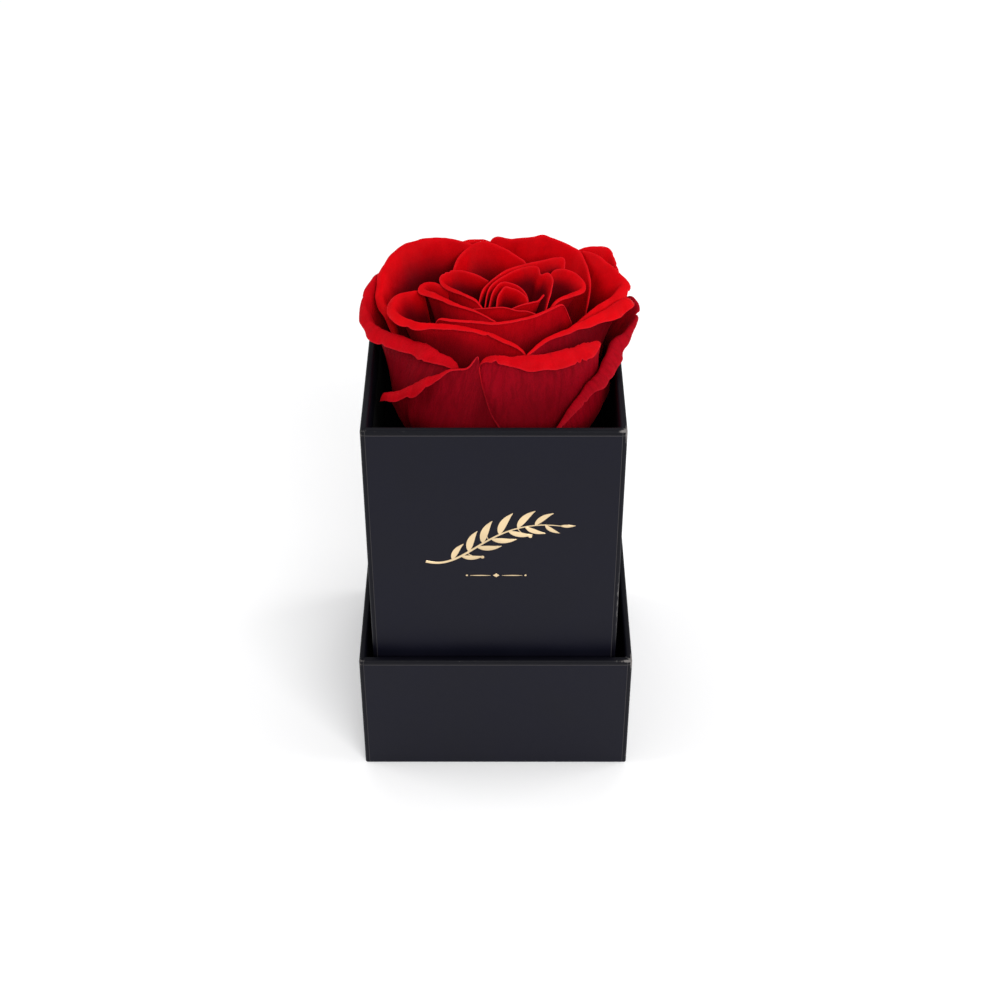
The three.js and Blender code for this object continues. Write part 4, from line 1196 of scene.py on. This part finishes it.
def petal_sheet(name, shape, look, spacing_mm, rng):
    """The middle surface of a petal: rows run from the rim to the foot, columns round it."""
    belly, foot_radius, foot_height, rim = shape
    rim = np.array(rim, float)
    turns = np.radians(rim[:, 0])
    lean = middle_line(rim[:, 2])
    control = np.column_stack([
        lean[:, 0] + rim[:, 1] * np.cos(turns),
        lean[:, 1] + rim[:, 1] * np.sin(turns),
        rim[:, 2],
        rim[:, 3:5],
    ])
    knots = knots_of(control)
    fine = np.linspace(0, knots[-1], 900)
    line = smooth_curve(control, knots, fine)
    run = np.concatenate([[0], np.cumsum(np.linalg.norm(np.diff(line[:, :3], axis=0), axis=1))])
    inner_count = max(int(run[-1] / spacing_mm), 12)
    tips = np.array([0, 0.06, 0.16, 0.32])
    places = np.concatenate([tips, np.linspace(0.6, run[-1] - 0.6, inner_count), run[-1] - tips[::-1]])
    at = np.interp(places, run, fine)
    line = smooth_curve(control, knots, at)
    nudge = knots[-1] * 1e-3
    heading = (smooth_curve(control, knots, at + nudge) - smooth_curve(control, knots, at - nudge))[:, :2]
    heading /= np.linalg.norm(heading, axis=1)[:, None]
    outward = np.stack([heading[:, 1], -heading[:, 0], np.zeros(len(at))], axis=-1)

    slow = Ripples(rng, (9.0, 14.0, 6.1))
    quick = Ripples(rng, (3.4, 2.3, 4.7))
    fade = np.clip(np.minimum(places, run[-1] - places) / 3.0, 0, 1)
    line[:, 2] += fade * look["rim"] * (0.55 * slow.at(places, 2.0) + 0.35 * quick.at(places))
    line[:, 3] *= 1 + 0.10 * slow.at(places, 9.0)
    line[:, 4] *= 1 + 0.12 * slow.at(places, 17.0)

    lean = middle_line(line[:, 2])
    from_middle = line[:, :2] - lean
    radii = np.linalg.norm(from_middle, axis=1)
    angles = np.unwrap(np.arctan2(from_middle[:, 1], from_middle[:, 0]))
    angles += 2 * math.pi * round((turns[0] - angles[0]) / (2 * math.pi))
    centre = (angles[0] + angles[-1]) / 2

    torn = np.zeros(len(at))
    for degrees, width, depth in NICKS.get(name, ()):
        place_of = np.interp(math.radians(degrees), angles, places)
        torn += depth * np.exp(-((np.abs(places - place_of) / width) ** 1.4))

    columns = []
    lengths = np.zeros(len(at))
    for i, (x, y, height, out, drop) in enumerate(line):
        belly_height = min(BELLY_HEIGHT_MM, height - 9)

        def spot(radius, level, share):
            mid_x, mid_y = middle_line(level)
            turn = centre + (angles[i] - centre) * share
            radius = min(radius, wall_room(turn, level))
            return (mid_x + radius * math.cos(turn), mid_y + radius * math.sin(turn), level)

        rim_point = np.array([x, y, height])
        rise = 0.08 * out - 0.42 * max(drop, 0)
        low_radius = foot_radius + (belly - foot_radius) * 0.62
        low_height = foot_height + (belly_height - foot_height) * 0.4
        neck_radius = belly + (radii[i] - belly) * 0.36
        neck_height = belly_height + (height - belly_height) * 0.45
        profile = np.array([
            spot(foot_radius, foot_height, 0.35),
            spot(low_radius, low_height, 0.7),
            spot(belly, belly_height, 0.92),
            spot(neck_radius, neck_height, 0.98),
            rim_point,
            rim_point + outward[i] * out * 0.58 + np.array([0, 0, rise]),
            rim_point + outward[i] * out - np.array([0, 0, drop]),
        ])
        steps = knots_of(profile)
        dense = smooth_curve(profile, steps, np.linspace(0, steps[-1], 160))
        reach = np.concatenate([[0], np.cumsum(np.linalg.norm(np.diff(dense, axis=0), axis=1))])
        lengths[i] = reach[-1] - torn[i]
        low = np.linspace(RIM_ROWS[-1], lengths[i], LOW_ROWS + 1)[1:]
        away = lengths[i] - np.concatenate([RIM_ROWS, low])
        columns.append(np.column_stack([np.interp(away, reach, dense[:, c]) for c in range(3)]))
    sheet = np.array(columns)
    from_rim = np.array([
        np.concatenate([RIM_ROWS, np.linspace(RIM_ROWS[-1], length, LOW_ROWS + 1)[1:]]) for length in lengths
    ])
    return sheet, places, from_rim, lengths, angles


def sheet_normals(sheet):
    """Directions that stand square on a sheet and look away from the heart."""
    round_it = np.gradient(sheet, axis=0)
    down_it = np.gradient(sheet, axis=1)
    normal = np.cross(down_it, round_it)
    return normal / np.maximum(np.linalg.norm(normal, axis=2), 1e-9)[..., None]


def crumple_sheet(name, sheet, places, from_rim, angles, look, rng):
    """Moves a sheet in and out: ruffles near the rim, slow swells, wrinkles and creases.

    Gives the moved sheet and how deep in a sharp fold each of its points lies, the mask of the painted shade
    in the creases.
    """
    settings = bpy.context.scene.rose_flower
    normal = sheet_normals(sheet)
    along = np.broadcast_to(places[:, None], from_rim.shape)
    swell = Ripples(rng, (21.0, 13.0, 8.5))
    ruffle = Ripples(rng, (7.5, 5.1, 9.6))
    frill = Ripples(rng, (2.6, 1.9, 3.3))
    streak = Ripples(rng, (1.7, 2.2, 2.9, 1.45))
    crush = Ripples(rng, (4.4, 3.1, 5.9))
    cross = Ripples(rng, (6.3, 4.2, 9.1))
    near = np.exp(-from_rim / 7.0)
    very_near = np.exp(-from_rim / 2.2)
    settle = 0.25 + 0.75 * np.clip(from_rim / 6.0, 0, 1)
    low = np.clip((from_rim - 26) / 12, 0, 1)
    move = look["swell"] * swell.at(along, from_rim) * np.clip(from_rim / 5, 0, 1) * (1 - low)
    move = move + settings.ruffle * look["ruffle"] * ruffle.at(along, from_rim * 0.4) * near
    move = move + settings.ruffle * look["ruffle"] * 0.28 * frill.at(along, from_rim * 0.3) * very_near
    lumps = crush.at(along, from_rim) * cross.at(from_rim * 1.15, along)
    move = move + settings.wrinkle * look["wrinkle"] * lumps * settle * (1 - low)
    fine_lines = streak.at(along, from_rim * 0.12) * (0.55 + 0.45 * crush.at(along * 0.5, from_rim * 0.6))
    move = move + settings.wrinkle * look["wrinkle"] * 0.30 * fine_lines * (1 - low)
    crease_shade = np.zeros(from_rim.shape)
    for degrees, width, depth in CREASES.get(name, ()):
        place_of = np.interp(math.radians(degrees), angles, places)
        drift = place_of + 0.9 * swell.at(from_rim * 0.8, 3.0)
        sharp = np.exp(-np.abs(along - drift) / width)
        fold = sharp * np.exp(-from_rim / 16.0) * np.clip((from_rim - 1.5) / 4.0, 0, 1)
        move = move + depth * fold
        # Mask of the painted shade along this crease.
        line = np.exp(-((along - drift) ** 2) / 0.12) * np.clip((from_rim - 2.5) / 4.0, 0, 1)
        crease_shade = np.maximum(crease_shade, line * np.exp(-from_rim / 22.0) * (0.6 + 0.4 * crush.at(from_rim, 5.0)))
    return sheet + normal * move[..., None], np.clip(crease_shade, 0, 1)


def make_petal(name, shape, look, material, seed):
    """One petal as a closed thin leaf with a rounded free edge."""
    settings = bpy.context.scene.rose_flower
    rng = np.random.default_rng(seed)
    spacing = settings.column_spacing / MM
    sheet, places, from_rim, lengths, angles = petal_sheet(name, shape, look, spacing, rng)
    sheet, crease_shade = crumple_sheet(name, sheet, places, from_rim, angles, look, rng)
    normal = sheet_normals(sheet)
    columns, rows = from_rim.shape

    side = np.minimum(places, places[-1] - places)[:, None]
    foot = lengths[:, None] - from_rim
    away = np.minimum(np.minimum(from_rim, side), np.maximum(foot, 0))
    half = settings.petal_thickness / MM / 2
    share = np.clip(away / (half * 1.25), 0, 1)
    thick = half * np.sqrt(np.maximum(1 - (1 - share) ** 2, 0))
    outer = sheet + normal * thick[..., None]
    inner = sheet - normal * thick[..., None]

    index_out = np.arange(columns * rows).reshape(columns, rows)
    index_in = index_out.copy()
    inside = (slice(1, columns - 1), slice(1, rows - 1))
    index_in[inside] = columns * rows + np.arange((columns - 2) * (rows - 2)).reshape(columns - 2, rows - 2)

    def quads(index, flip):
        a, b, c, d = index[:-1, :-1], index[1:, :-1], index[1:, 1:], index[:-1, 1:]
        order = (a, d, c, b) if flip else (a, b, c, d)
        return np.stack(order, axis=-1).reshape(-1, 4)

    faces = np.concatenate([quads(index_out, True), quads(index_in, False)])
    points = np.concatenate([outer.reshape(-1, 3), inner[inside].reshape(-1, 3)])
    points = points * MM
    points[:, 2] += HEAD_Z_MM * MM

    def both(values):
        values = np.broadcast_to(values, (columns, rows))
        return np.concatenate([values.ravel(), values[inside].ravel()])

    # Painted shade: how lit each face is, by its depth below the rim.
    shade_front, shade_back = SHADE_MM.get(name, look["shade"])
    lit_front = 1 - fade_in(from_rim, shade_front * 0.15, shade_front)
    lit_back = (1 - 0.85 * fade_in(from_rim, shade_back * 0.10, shade_back)) * SHADED_BACKS.get(name, 1.0)
    shelter = np.ones(columns)
    if name in SHADED_ENDS:
        first, last = np.radians(SHADED_ENDS[name])
        shelter = 1 - 0.85 * fade_in(angles, first, last)
    lit_front = lit_front * shelter[:, None]
    lit_back = lit_back * shelter[:, None]
    is_back = np.concatenate([np.ones(columns * rows), np.zeros((columns - 2) * (rows - 2))])
    on_edge = both((away <= 0).astype(float))
    values = {
        "petal_side": np.where(on_edge > 0, 0.5, np.maximum(is_back, DULL_LIPS.get(name, 0.0))),
        # Mask of the painted highlight along the rim, dimmed where the rim slips into shade.
        "petal_edge": both(np.exp(-from_rim / 0.22) * shelter[:, None]),
        # Mask of the painted shade in the creases.
        "petal_crease_shade": both(crease_shade),
        "petal_lit": np.concatenate([lit_back.ravel(), lit_front[inside].ravel()]),
        "petal_tone": np.full(len(points), rng.uniform(0, 1)),
    }
    width_share = 0.35 + 0.65 * np.clip(foot / (lengths[:, None] * 0.5), 0, 1)
    across = (places[:, None] - places[-1] / 2) * width_share
    map_points = np.stack([both(across) * 0.01, both(foot) * 0.01], axis=-1)
    piece = make_piece(name.replace("petal_", "leaf_"), points, faces.tolist(), material, values, map_points)
    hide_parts(name)
    return piece


def make_petals(petals, look, seed):
    """All the petals of one ring of the head."""
    material_name = "petal_skin_" + look["skin"]
    material = bpy.data.materials.get(material_name)
    if material is None:
        material = make_petal_skin(
            material_name, look["crumple"], look["veins"], look["richness"], look["dull"]
        )
    for k, (name, shape) in enumerate(petals.items()):
        make_petal(name, shape, look, material, seed + k)


TIGHT_LOOK = {
    "skin": "tight", "crumple": 0.30, "veins": 120.0, "richness": 0.78, "dull": 0.2, "shade": (6, 8),
    "rim": 0.05, "swell": 0.08, "ruffle": 0.012, "wrinkle": 0.02,
}
OPEN_LOOK = {
    "skin": "open", "crumple": 0.42, "veins": 105.0, "richness": 0.84, "dull": 0.4, "shade": (12, 11),
    "rim": 0.08, "swell": 0.20, "ruffle": 0.02, "wrinkle": 0.03,
}
LOOSE_LOOK = {
    "skin": "loose", "crumple": 0.60, "veins": 95.0, "richness": 0.86, "dull": 1.0, "shade": (17, 28),
    "rim": 0.12, "swell": 0.26, "ruffle": 0.035, "wrinkle": 0.05,
}


# ---- foil sprig ------------------------------------------------------------------------------
def ribbon(points, faces, line, widths, base, top):
    """Adds a pressed foil stroke: a low ridge with soft shoulders along a line in X and Z."""
    line = np.asarray(line, float)
    heading = np.gradient(line, axis=0)
    heading /= np.linalg.norm(heading, axis=1)[:, None]
    across = np.stack([-heading[:, 1], heading[:, 0]], axis=-1)
    height = top - base
    section = [(-1, 0), (-1, 0.72), (-0.72, 1), (0, 0.93), (0.72, 1), (1, 0.72), (1, 0)]
    first = len(points)
    for centre, sideways, width in zip(line, across, widths):
        for share, rise in section:
            spot = centre + sideways * share * width
            points.append((spot[0], -(base + height * rise), spot[1]))
    count = len(section)
    for k in range(len(line) - 1):
        for j in range(count):
            a = first + k * count + j
            b = first + k * count + (j + 1) % count
            faces.append((a, b, b + count, a + count))
    faces.append([first + j for j in range(count)][::-1])
    faces.append([first + (len(line) - 1) * count + j for j in range(count)])


def leaf_line(start, turn, length, bend):
    """The middle line of a small leaf, from its stalk to its tip, and its half widths."""
    share = np.linspace(0, 1, 15)
    lean = turn + bend * share
    steps = np.column_stack([np.cos(lean), np.sin(lean)]) * length / 14
    line = np.asarray(start) + np.vstack([[0, 0], np.cumsum(steps[1:], axis=0)])
    widths = length * 0.115 * np.sin(math.pi * share**0.8) ** 0.9 + 0.00006
    return line, widths


def sprig_strokes(middle):
    """Lines and half widths of the sprig: a swung stem, leaves, buds and a small rule below."""
    strokes = []
    corners = np.array([(-19.8, -7.0), (-8.0, -11.0), (-3.0, 9.0), (17.8, 6.0)]) * MM
    share = np.linspace(0, 1, 60)[:, None]
    rest = 1 - share
    stem = rest**3 * corners[0] + 3 * rest**2 * share * corners[1]
    stem = stem + 3 * rest * share**2 * corners[2] + share**3 * corners[3]
    run = np.concatenate([[0], np.cumsum(np.linalg.norm(np.diff(stem, axis=0), axis=1))])
    even = np.linspace(0, run[-1], 60)
    stem = np.column_stack([np.interp(even, run, stem[:, 0]), np.interp(even, run, stem[:, 1])])
    stem_widths = 0.00044 - 0.00028 * share[:, 0]
    strokes.append((stem, stem_widths))
    for k in range(12):
        at = 0.20 + 0.064 * k
        here = stem[int(at * 59)]
        ahead = stem[min(int(at * 59) + 1, 59)]
        turn = math.atan2(ahead[1] - here[1], ahead[0] - here[0])
        up = 1 if k % 2 == 0 else -1
        swell = math.sin(math.pi * (0.20 + 0.06 * k))
        length = (4.0 + 4.8 * swell) * (1.0 if up > 0 else 0.84) * MM
        strokes.append(leaf_line(here, turn + up * 0.98, length, -up * 0.70))
    ahead = stem[-1] - stem[-2]
    strokes.append(leaf_line(stem[-1], math.atan2(ahead[1], ahead[0]), 4.2 * MM, 0.25))
    for at, up in ((0.31, -1), (0.50, 1), (0.72, -1)):
        here = stem[int(at * 59)]
        ahead = stem[int(at * 59) + 1]
        turn = math.atan2(ahead[1] - here[1], ahead[0] - here[0]) + up * 1.5
        share_k = np.linspace(0, 1, 12)
        bent = turn - 0.5 * up * share_k
        heading = np.column_stack([np.cos(bent), np.sin(bent)])
        stalk = here + heading * (4.6 * MM * share_k[:, None])
        strokes.append((stalk, np.full(12, 0.00014)))
        strokes.append(round_dot(stalk[-1], 0.00052))
    low = -12.2 * MM
    for way in (-1, 1):
        span = np.linspace(way * 1.6, way * 7.4, 14) * MM
        widths = 0.00006 + 0.00012 * np.sin(math.pi * np.linspace(0, 1, 14))
        strokes.append((np.column_stack([span, np.full(14, low)]), widths))
        strokes.append(round_dot((way * 8.3 * MM, low), 0.00032))
    diamond = np.linspace(-0.9, 0.9, 9)
    strokes.append((np.column_stack([diamond * MM, np.full(9, low)]), (0.95 - np.abs(diamond)) * MM * 0.8))
    return [(line + np.asarray(middle), widths) for line, widths in strokes]


def round_dot(middle, radius):
    """A round dot as a stroke: its half widths follow a circle."""
    share = np.linspace(-0.985, 0.985, 13)
    line = np.asarray(middle) + np.column_stack([share * radius, np.zeros(13)])
    return line, radius * np.sqrt(1 - share**2)


# ---- operators -------------------------------------------------------------------------------
class ROSEBOX_OT_box_cover(bpy.types.Operator):
    """Cover paper of the tall box"""

    bl_idname = "rosebox.box_cover"
    bl_label = "Box Cover"

    def execute(self, context):
        scuffs = [
            (35.0, -35.5, 122.8, 2.2, 0.9),
            (35.0, -35.5, 62.0, 7.0, 0.5),
            (-35.9, -35.6, 122.6, 2.0, 0.5),
        ]
        make_cover("box_cover_paper", BOX_LOW, BOX_HIGH, "box_lining", ["box_wrap_band"], scuffs)
        make_base_sheet("box_base_paper", "box_wrap_sheet")
        return {"FINISHED"}


class ROSEBOX_OT_lid_cover(bpy.types.Operator):
    """Cover paper of the lid that the box stands in"""

    bl_idname = "rosebox.lid_cover"
    bl_label = "Lid Cover"

    def execute(self, context):
        scuffs = [
            (39.6, -39.6, 42.4, 3.0, 1.0),
            (-39.6, -39.6, 42.4, 2.4, 0.5),
            (39.8, -39.8, 3.0, 3.0, 0.5),
        ]
        make_cover("lid_cover_paper", LID_LOW, LID_HIGH, "lid_lining", ["lid_wrap_band"], scuffs)
        make_base_sheet("lid_base_paper", "lid_wrap_sheet")
        return {"FINISHED"}


class ROSEBOX_OT_boards(bpy.types.Operator):
    """Grey boards inside the covers"""

    bl_idname = "rosebox.boards"
    bl_label = "Grey Boards"

    def execute(self, context):
        board = known("pressed_grey_board", make_grey_board)
        for tray in ("box", "lid"):
            for part in ("panel", "front", "back", "left", "right"):
                finish_node(f"{tray}_board_{part}", board)
        return {"FINISHED"}


class ROSEBOX_OT_linings(bpy.types.Operator):
    """Lining papers of the box and the lid"""

    bl_idname = "rosebox.linings"
    bl_label = "Linings"

    def execute(self, context):
        paper = known("matt_lining_paper", make_lining_paper)
        finish_node("box_lining", paper)
        finish_node("lid_lining", paper)
        return {"FINISHED"}


class ROSEBOX_OT_foam_and_card(bpy.types.Operator):
    """Flower foam and the black card over it"""

    bl_idname = "rosebox.foam_and_card"
    bl_label = "Foam and Card"

    def execute(self, context):
        finish_node("foam_block", known("dry_flower_foam", make_foam))
        finish_node("foam_card", known("matt_black_card", make_black_card))
        return {"FINISHED"}


class ROSEBOX_OT_stem_and_sepals(bpy.types.Operator):
    """Stem, hip and sepals"""

    bl_idname = "rosebox.stem_and_sepals"
    bl_label = "Stem and Sepals"

    def execute(self, context):
        green = known("green_plant_skin", make_green_skin)
        for node in ("stem_and_hip", "sepal_1", "sepal_2", "sepal_3", "sepal_4", "sepal_5"):
            finish_node(node, green)
        return {"FINISHED"}


class ROSEBOX_OT_bud_petals(bpy.types.Operator):
    """Tightly rolled petals in the middle"""

    bl_idname = "rosebox.bud_petals"
    bl_label = "Bud Petals"

    def execute(self, context):
        make_petals(BUD_PETALS, TIGHT_LOOK, 110)
        return {"FINISHED"}


class ROSEBOX_OT_heart_petals(bpy.types.Operator):
    """Petals folded round the bud"""

    bl_idname = "rosebox.heart_petals"
    bl_label = "Heart Petals"

    def execute(self, context):
        make_petals(HEART_PETALS, TIGHT_LOOK, 120)
        return {"FINISHED"}


class ROSEBOX_OT_inner_petals(bpy.types.Operator):
    """First open ring of petals"""

    bl_idname = "rosebox.inner_petals"
    bl_label = "Inner Petals"

    def execute(self, context):
        make_petals(INNER_PETALS, OPEN_LOOK, 130)
        return {"FINISHED"}


class ROSEBOX_OT_middle_petals(bpy.types.Operator):
    """Second open ring of petals"""

    bl_idname = "rosebox.middle_petals"
    bl_label = "Middle Petals"

    def execute(self, context):
        make_petals(MIDDLE_PETALS, OPEN_LOOK, 140)
        return {"FINISHED"}


class ROSEBOX_OT_outer_petals(bpy.types.Operator):
    """Wide petals with rolled lips"""

    bl_idname = "rosebox.outer_petals"
    bl_label = "Outer Petals"

    def execute(self, context):
        make_petals(OUTER_PETALS, LOOSE_LOOK, 150)
        return {"FINISHED"}


class ROSEBOX_OT_edge_petals(bpy.types.Operator):
    """Petals that press against the walls of the box"""

    bl_idname = "rosebox.edge_petals"
    bl_label = "Edge Petals"

    def execute(self, context):
        make_petals(EDGE_PETALS, LOOSE_LOOK, 160)
        return {"FINISHED"}


class ROSEBOX_OT_guard_petals(bpy.types.Operator):
    """Outermost petals behind and below the others"""

    bl_idname = "rosebox.guard_petals"
    bl_label = "Guard Petals"

    def execute(self, context):
        make_petals(GUARD_PETALS, LOOSE_LOOK, 170)
        return {"FINISHED"}


class ROSEBOX_OT_sprig(bpy.types.Operator):
    """Foil sprig pressed on the front of the box"""

    bl_idname = "rosebox.sprig"
    bl_label = "Foil Sprig"

    def execute(self, context):
        look = context.scene.rose_sprig
        face = -BOX_LOW.y
        base = face - 0.00005
        top = face + context.scene.rose_box.seam_step + look.foil
        points, faces = [], []
        for line, widths in sprig_strokes(look.middle):
            ribbon(points, faces, line, widths, base, top)
        make_piece("foil_sprig", points, faces, known("pale_gold_foil", make_foil), sharp=math.radians(60))
        return {"FINISHED"}


class ROSEBOX_OT_stage(bpy.types.Operator):
    """Floor, lights, white surround and camera"""

    bl_idname = "rosebox.stage"
    bl_label = "Stage"

    def execute(self, context):
        look = context.scene.rose_stage
        half = look.floor_size / 2
        mesh = bpy.data.meshes.new("floor")
        corners = [(-half, -half, 0), (half, -half, 0), (half, half, 0), (-half, half, 0)]
        mesh.from_pydata(corners, [], [(0, 1, 2, 3)])
        mesh.materials.append(known("pale_floor", make_floor))
        floor = bpy.data.objects.new("floor", mesh)
        context.scene.collection.objects.link(floor)
        aim = Vector((0, 0, 0.10))
        self.add_light("left_light", (-0.95, 0.10, 0.75), aim, (0.7, 0.9), look.side_light)
        self.add_light("right_light", (0.95, 0.10, 0.75), aim, (0.7, 0.9), look.side_light)
        self.add_light("top_light", (0.0, 0.55, 1.15), aim, (0.9, 0.6), look.top_light)
        self.add_light("front_light", (0.45, -1.10, 0.95), aim, (0.9, 0.6), look.front_light)
        self.add_surround(context, look.surround)
        self.add_camera(context, look)
        context.scene.view_settings.view_transform = "Standard"
        return {"FINISHED"}

    def add_light(self, name, place_of, aim, size, power):
        """One soft rectangular light that looks at the rose."""
        data = bpy.data.lights.new(name, "AREA")
        data.shape = "RECTANGLE"
        data.size, data.size_y = size
        data.energy = power
        light = bpy.data.objects.new(name, data)
        light.location = place_of
        light.rotation_euler = (aim - Vector(place_of)).to_track_quat("-Z", "Y").to_euler()
        bpy.context.scene.collection.objects.link(light)

    def add_surround(self, context, strength):
        """An even white world."""
        world = bpy.data.worlds.new("white_surround")
        world.use_nodes = True
        background = world.node_tree.nodes["Background"]
        background.inputs["Color"].default_value = (1.0, 1.0, 1.0, 1.0)
        background.inputs["Strength"].default_value = strength
        context.scene.world = world

    def add_camera(self, context, look):
        """The camera, looking down on the open box."""
        data = bpy.data.cameras.new("camera")
        data.lens = look.lens_mm
        data.sensor_width = 36.0
        data.clip_start = 0.01
        camera = bpy.data.objects.new("camera", data)
        camera.location = look.camera_place
        camera.rotation_euler = (look.camera_tilt, 0.0, look.camera_turn)
        context.scene.collection.objects.link(camera)
        context.scene.camera = camera


# ---- panel and registration ------------------------------------------------------------------
OPERATORS = (
    ROSEBOX_OT_box_cover,
    ROSEBOX_OT_lid_cover,
    ROSEBOX_OT_boards,
    ROSEBOX_OT_linings,
    ROSEBOX_OT_foam_and_card,
    ROSEBOX_OT_stem_and_sepals,
    ROSEBOX_OT_bud_petals,
    ROSEBOX_OT_heart_petals,
    ROSEBOX_OT_inner_petals,
    ROSEBOX_OT_middle_petals,
    ROSEBOX_OT_outer_petals,
    ROSEBOX_OT_edge_petals,
    ROSEBOX_OT_guard_petals,
    ROSEBOX_OT_sprig,
    ROSEBOX_OT_stage,
)
SETTINGS = {
    "rose_box": BoxSettings,
    "rose_flower": RoseSettings,
    "rose_sprig": SprigSettings,
    "rose_stage": StageSettings,
}


class ROSEBOX_PT_pieces(bpy.types.Panel):
    """Lists the pieces of the rose box and their settings"""

    bl_idname = "ROSEBOX_PT_pieces"
    bl_label = "Rose in a Box"
    bl_space_type = "VIEW_3D"
    bl_region_type = "UI"
    bl_category = "Rose Box"

    def draw(self, context):
        column = self.layout.column()
        for operator in OPERATORS:
            column.operator(operator.bl_idname)
        for name, settings in SETTINGS.items():
            held = getattr(context.scene, name)
            box = column.box()
            for label in settings.__annotations__:
                box.prop(held, label)


def register():
    """Makes the settings, operators and panel known to Blender."""
    for settings in SETTINGS.values():
        bpy.utils.register_class(settings)
    for operator in OPERATORS:
        bpy.utils.register_class(operator)
    bpy.utils.register_class(ROSEBOX_PT_pieces)
    for name, settings in SETTINGS.items():
        setattr(bpy.types.Scene, name, PointerProperty(type=settings))


def unregister():
    """Takes them away again."""
    for name in SETTINGS:
        delattr(bpy.types.Scene, name)
    bpy.utils.unregister_class(ROSEBOX_PT_pieces)
    for operator in reversed(OPERATORS):
        bpy.utils.unregister_class(operator)
    for settings in reversed(SETTINGS.values()):
        bpy.utils.unregister_class(settings)


def main():
    """Registers the add-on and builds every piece."""
    register()
    for operator in OPERATORS:
        group, name = operator.bl_idname.split(".")
        getattr(getattr(bpy.ops, group), name)()


if __name__ == "__main__":
    main()
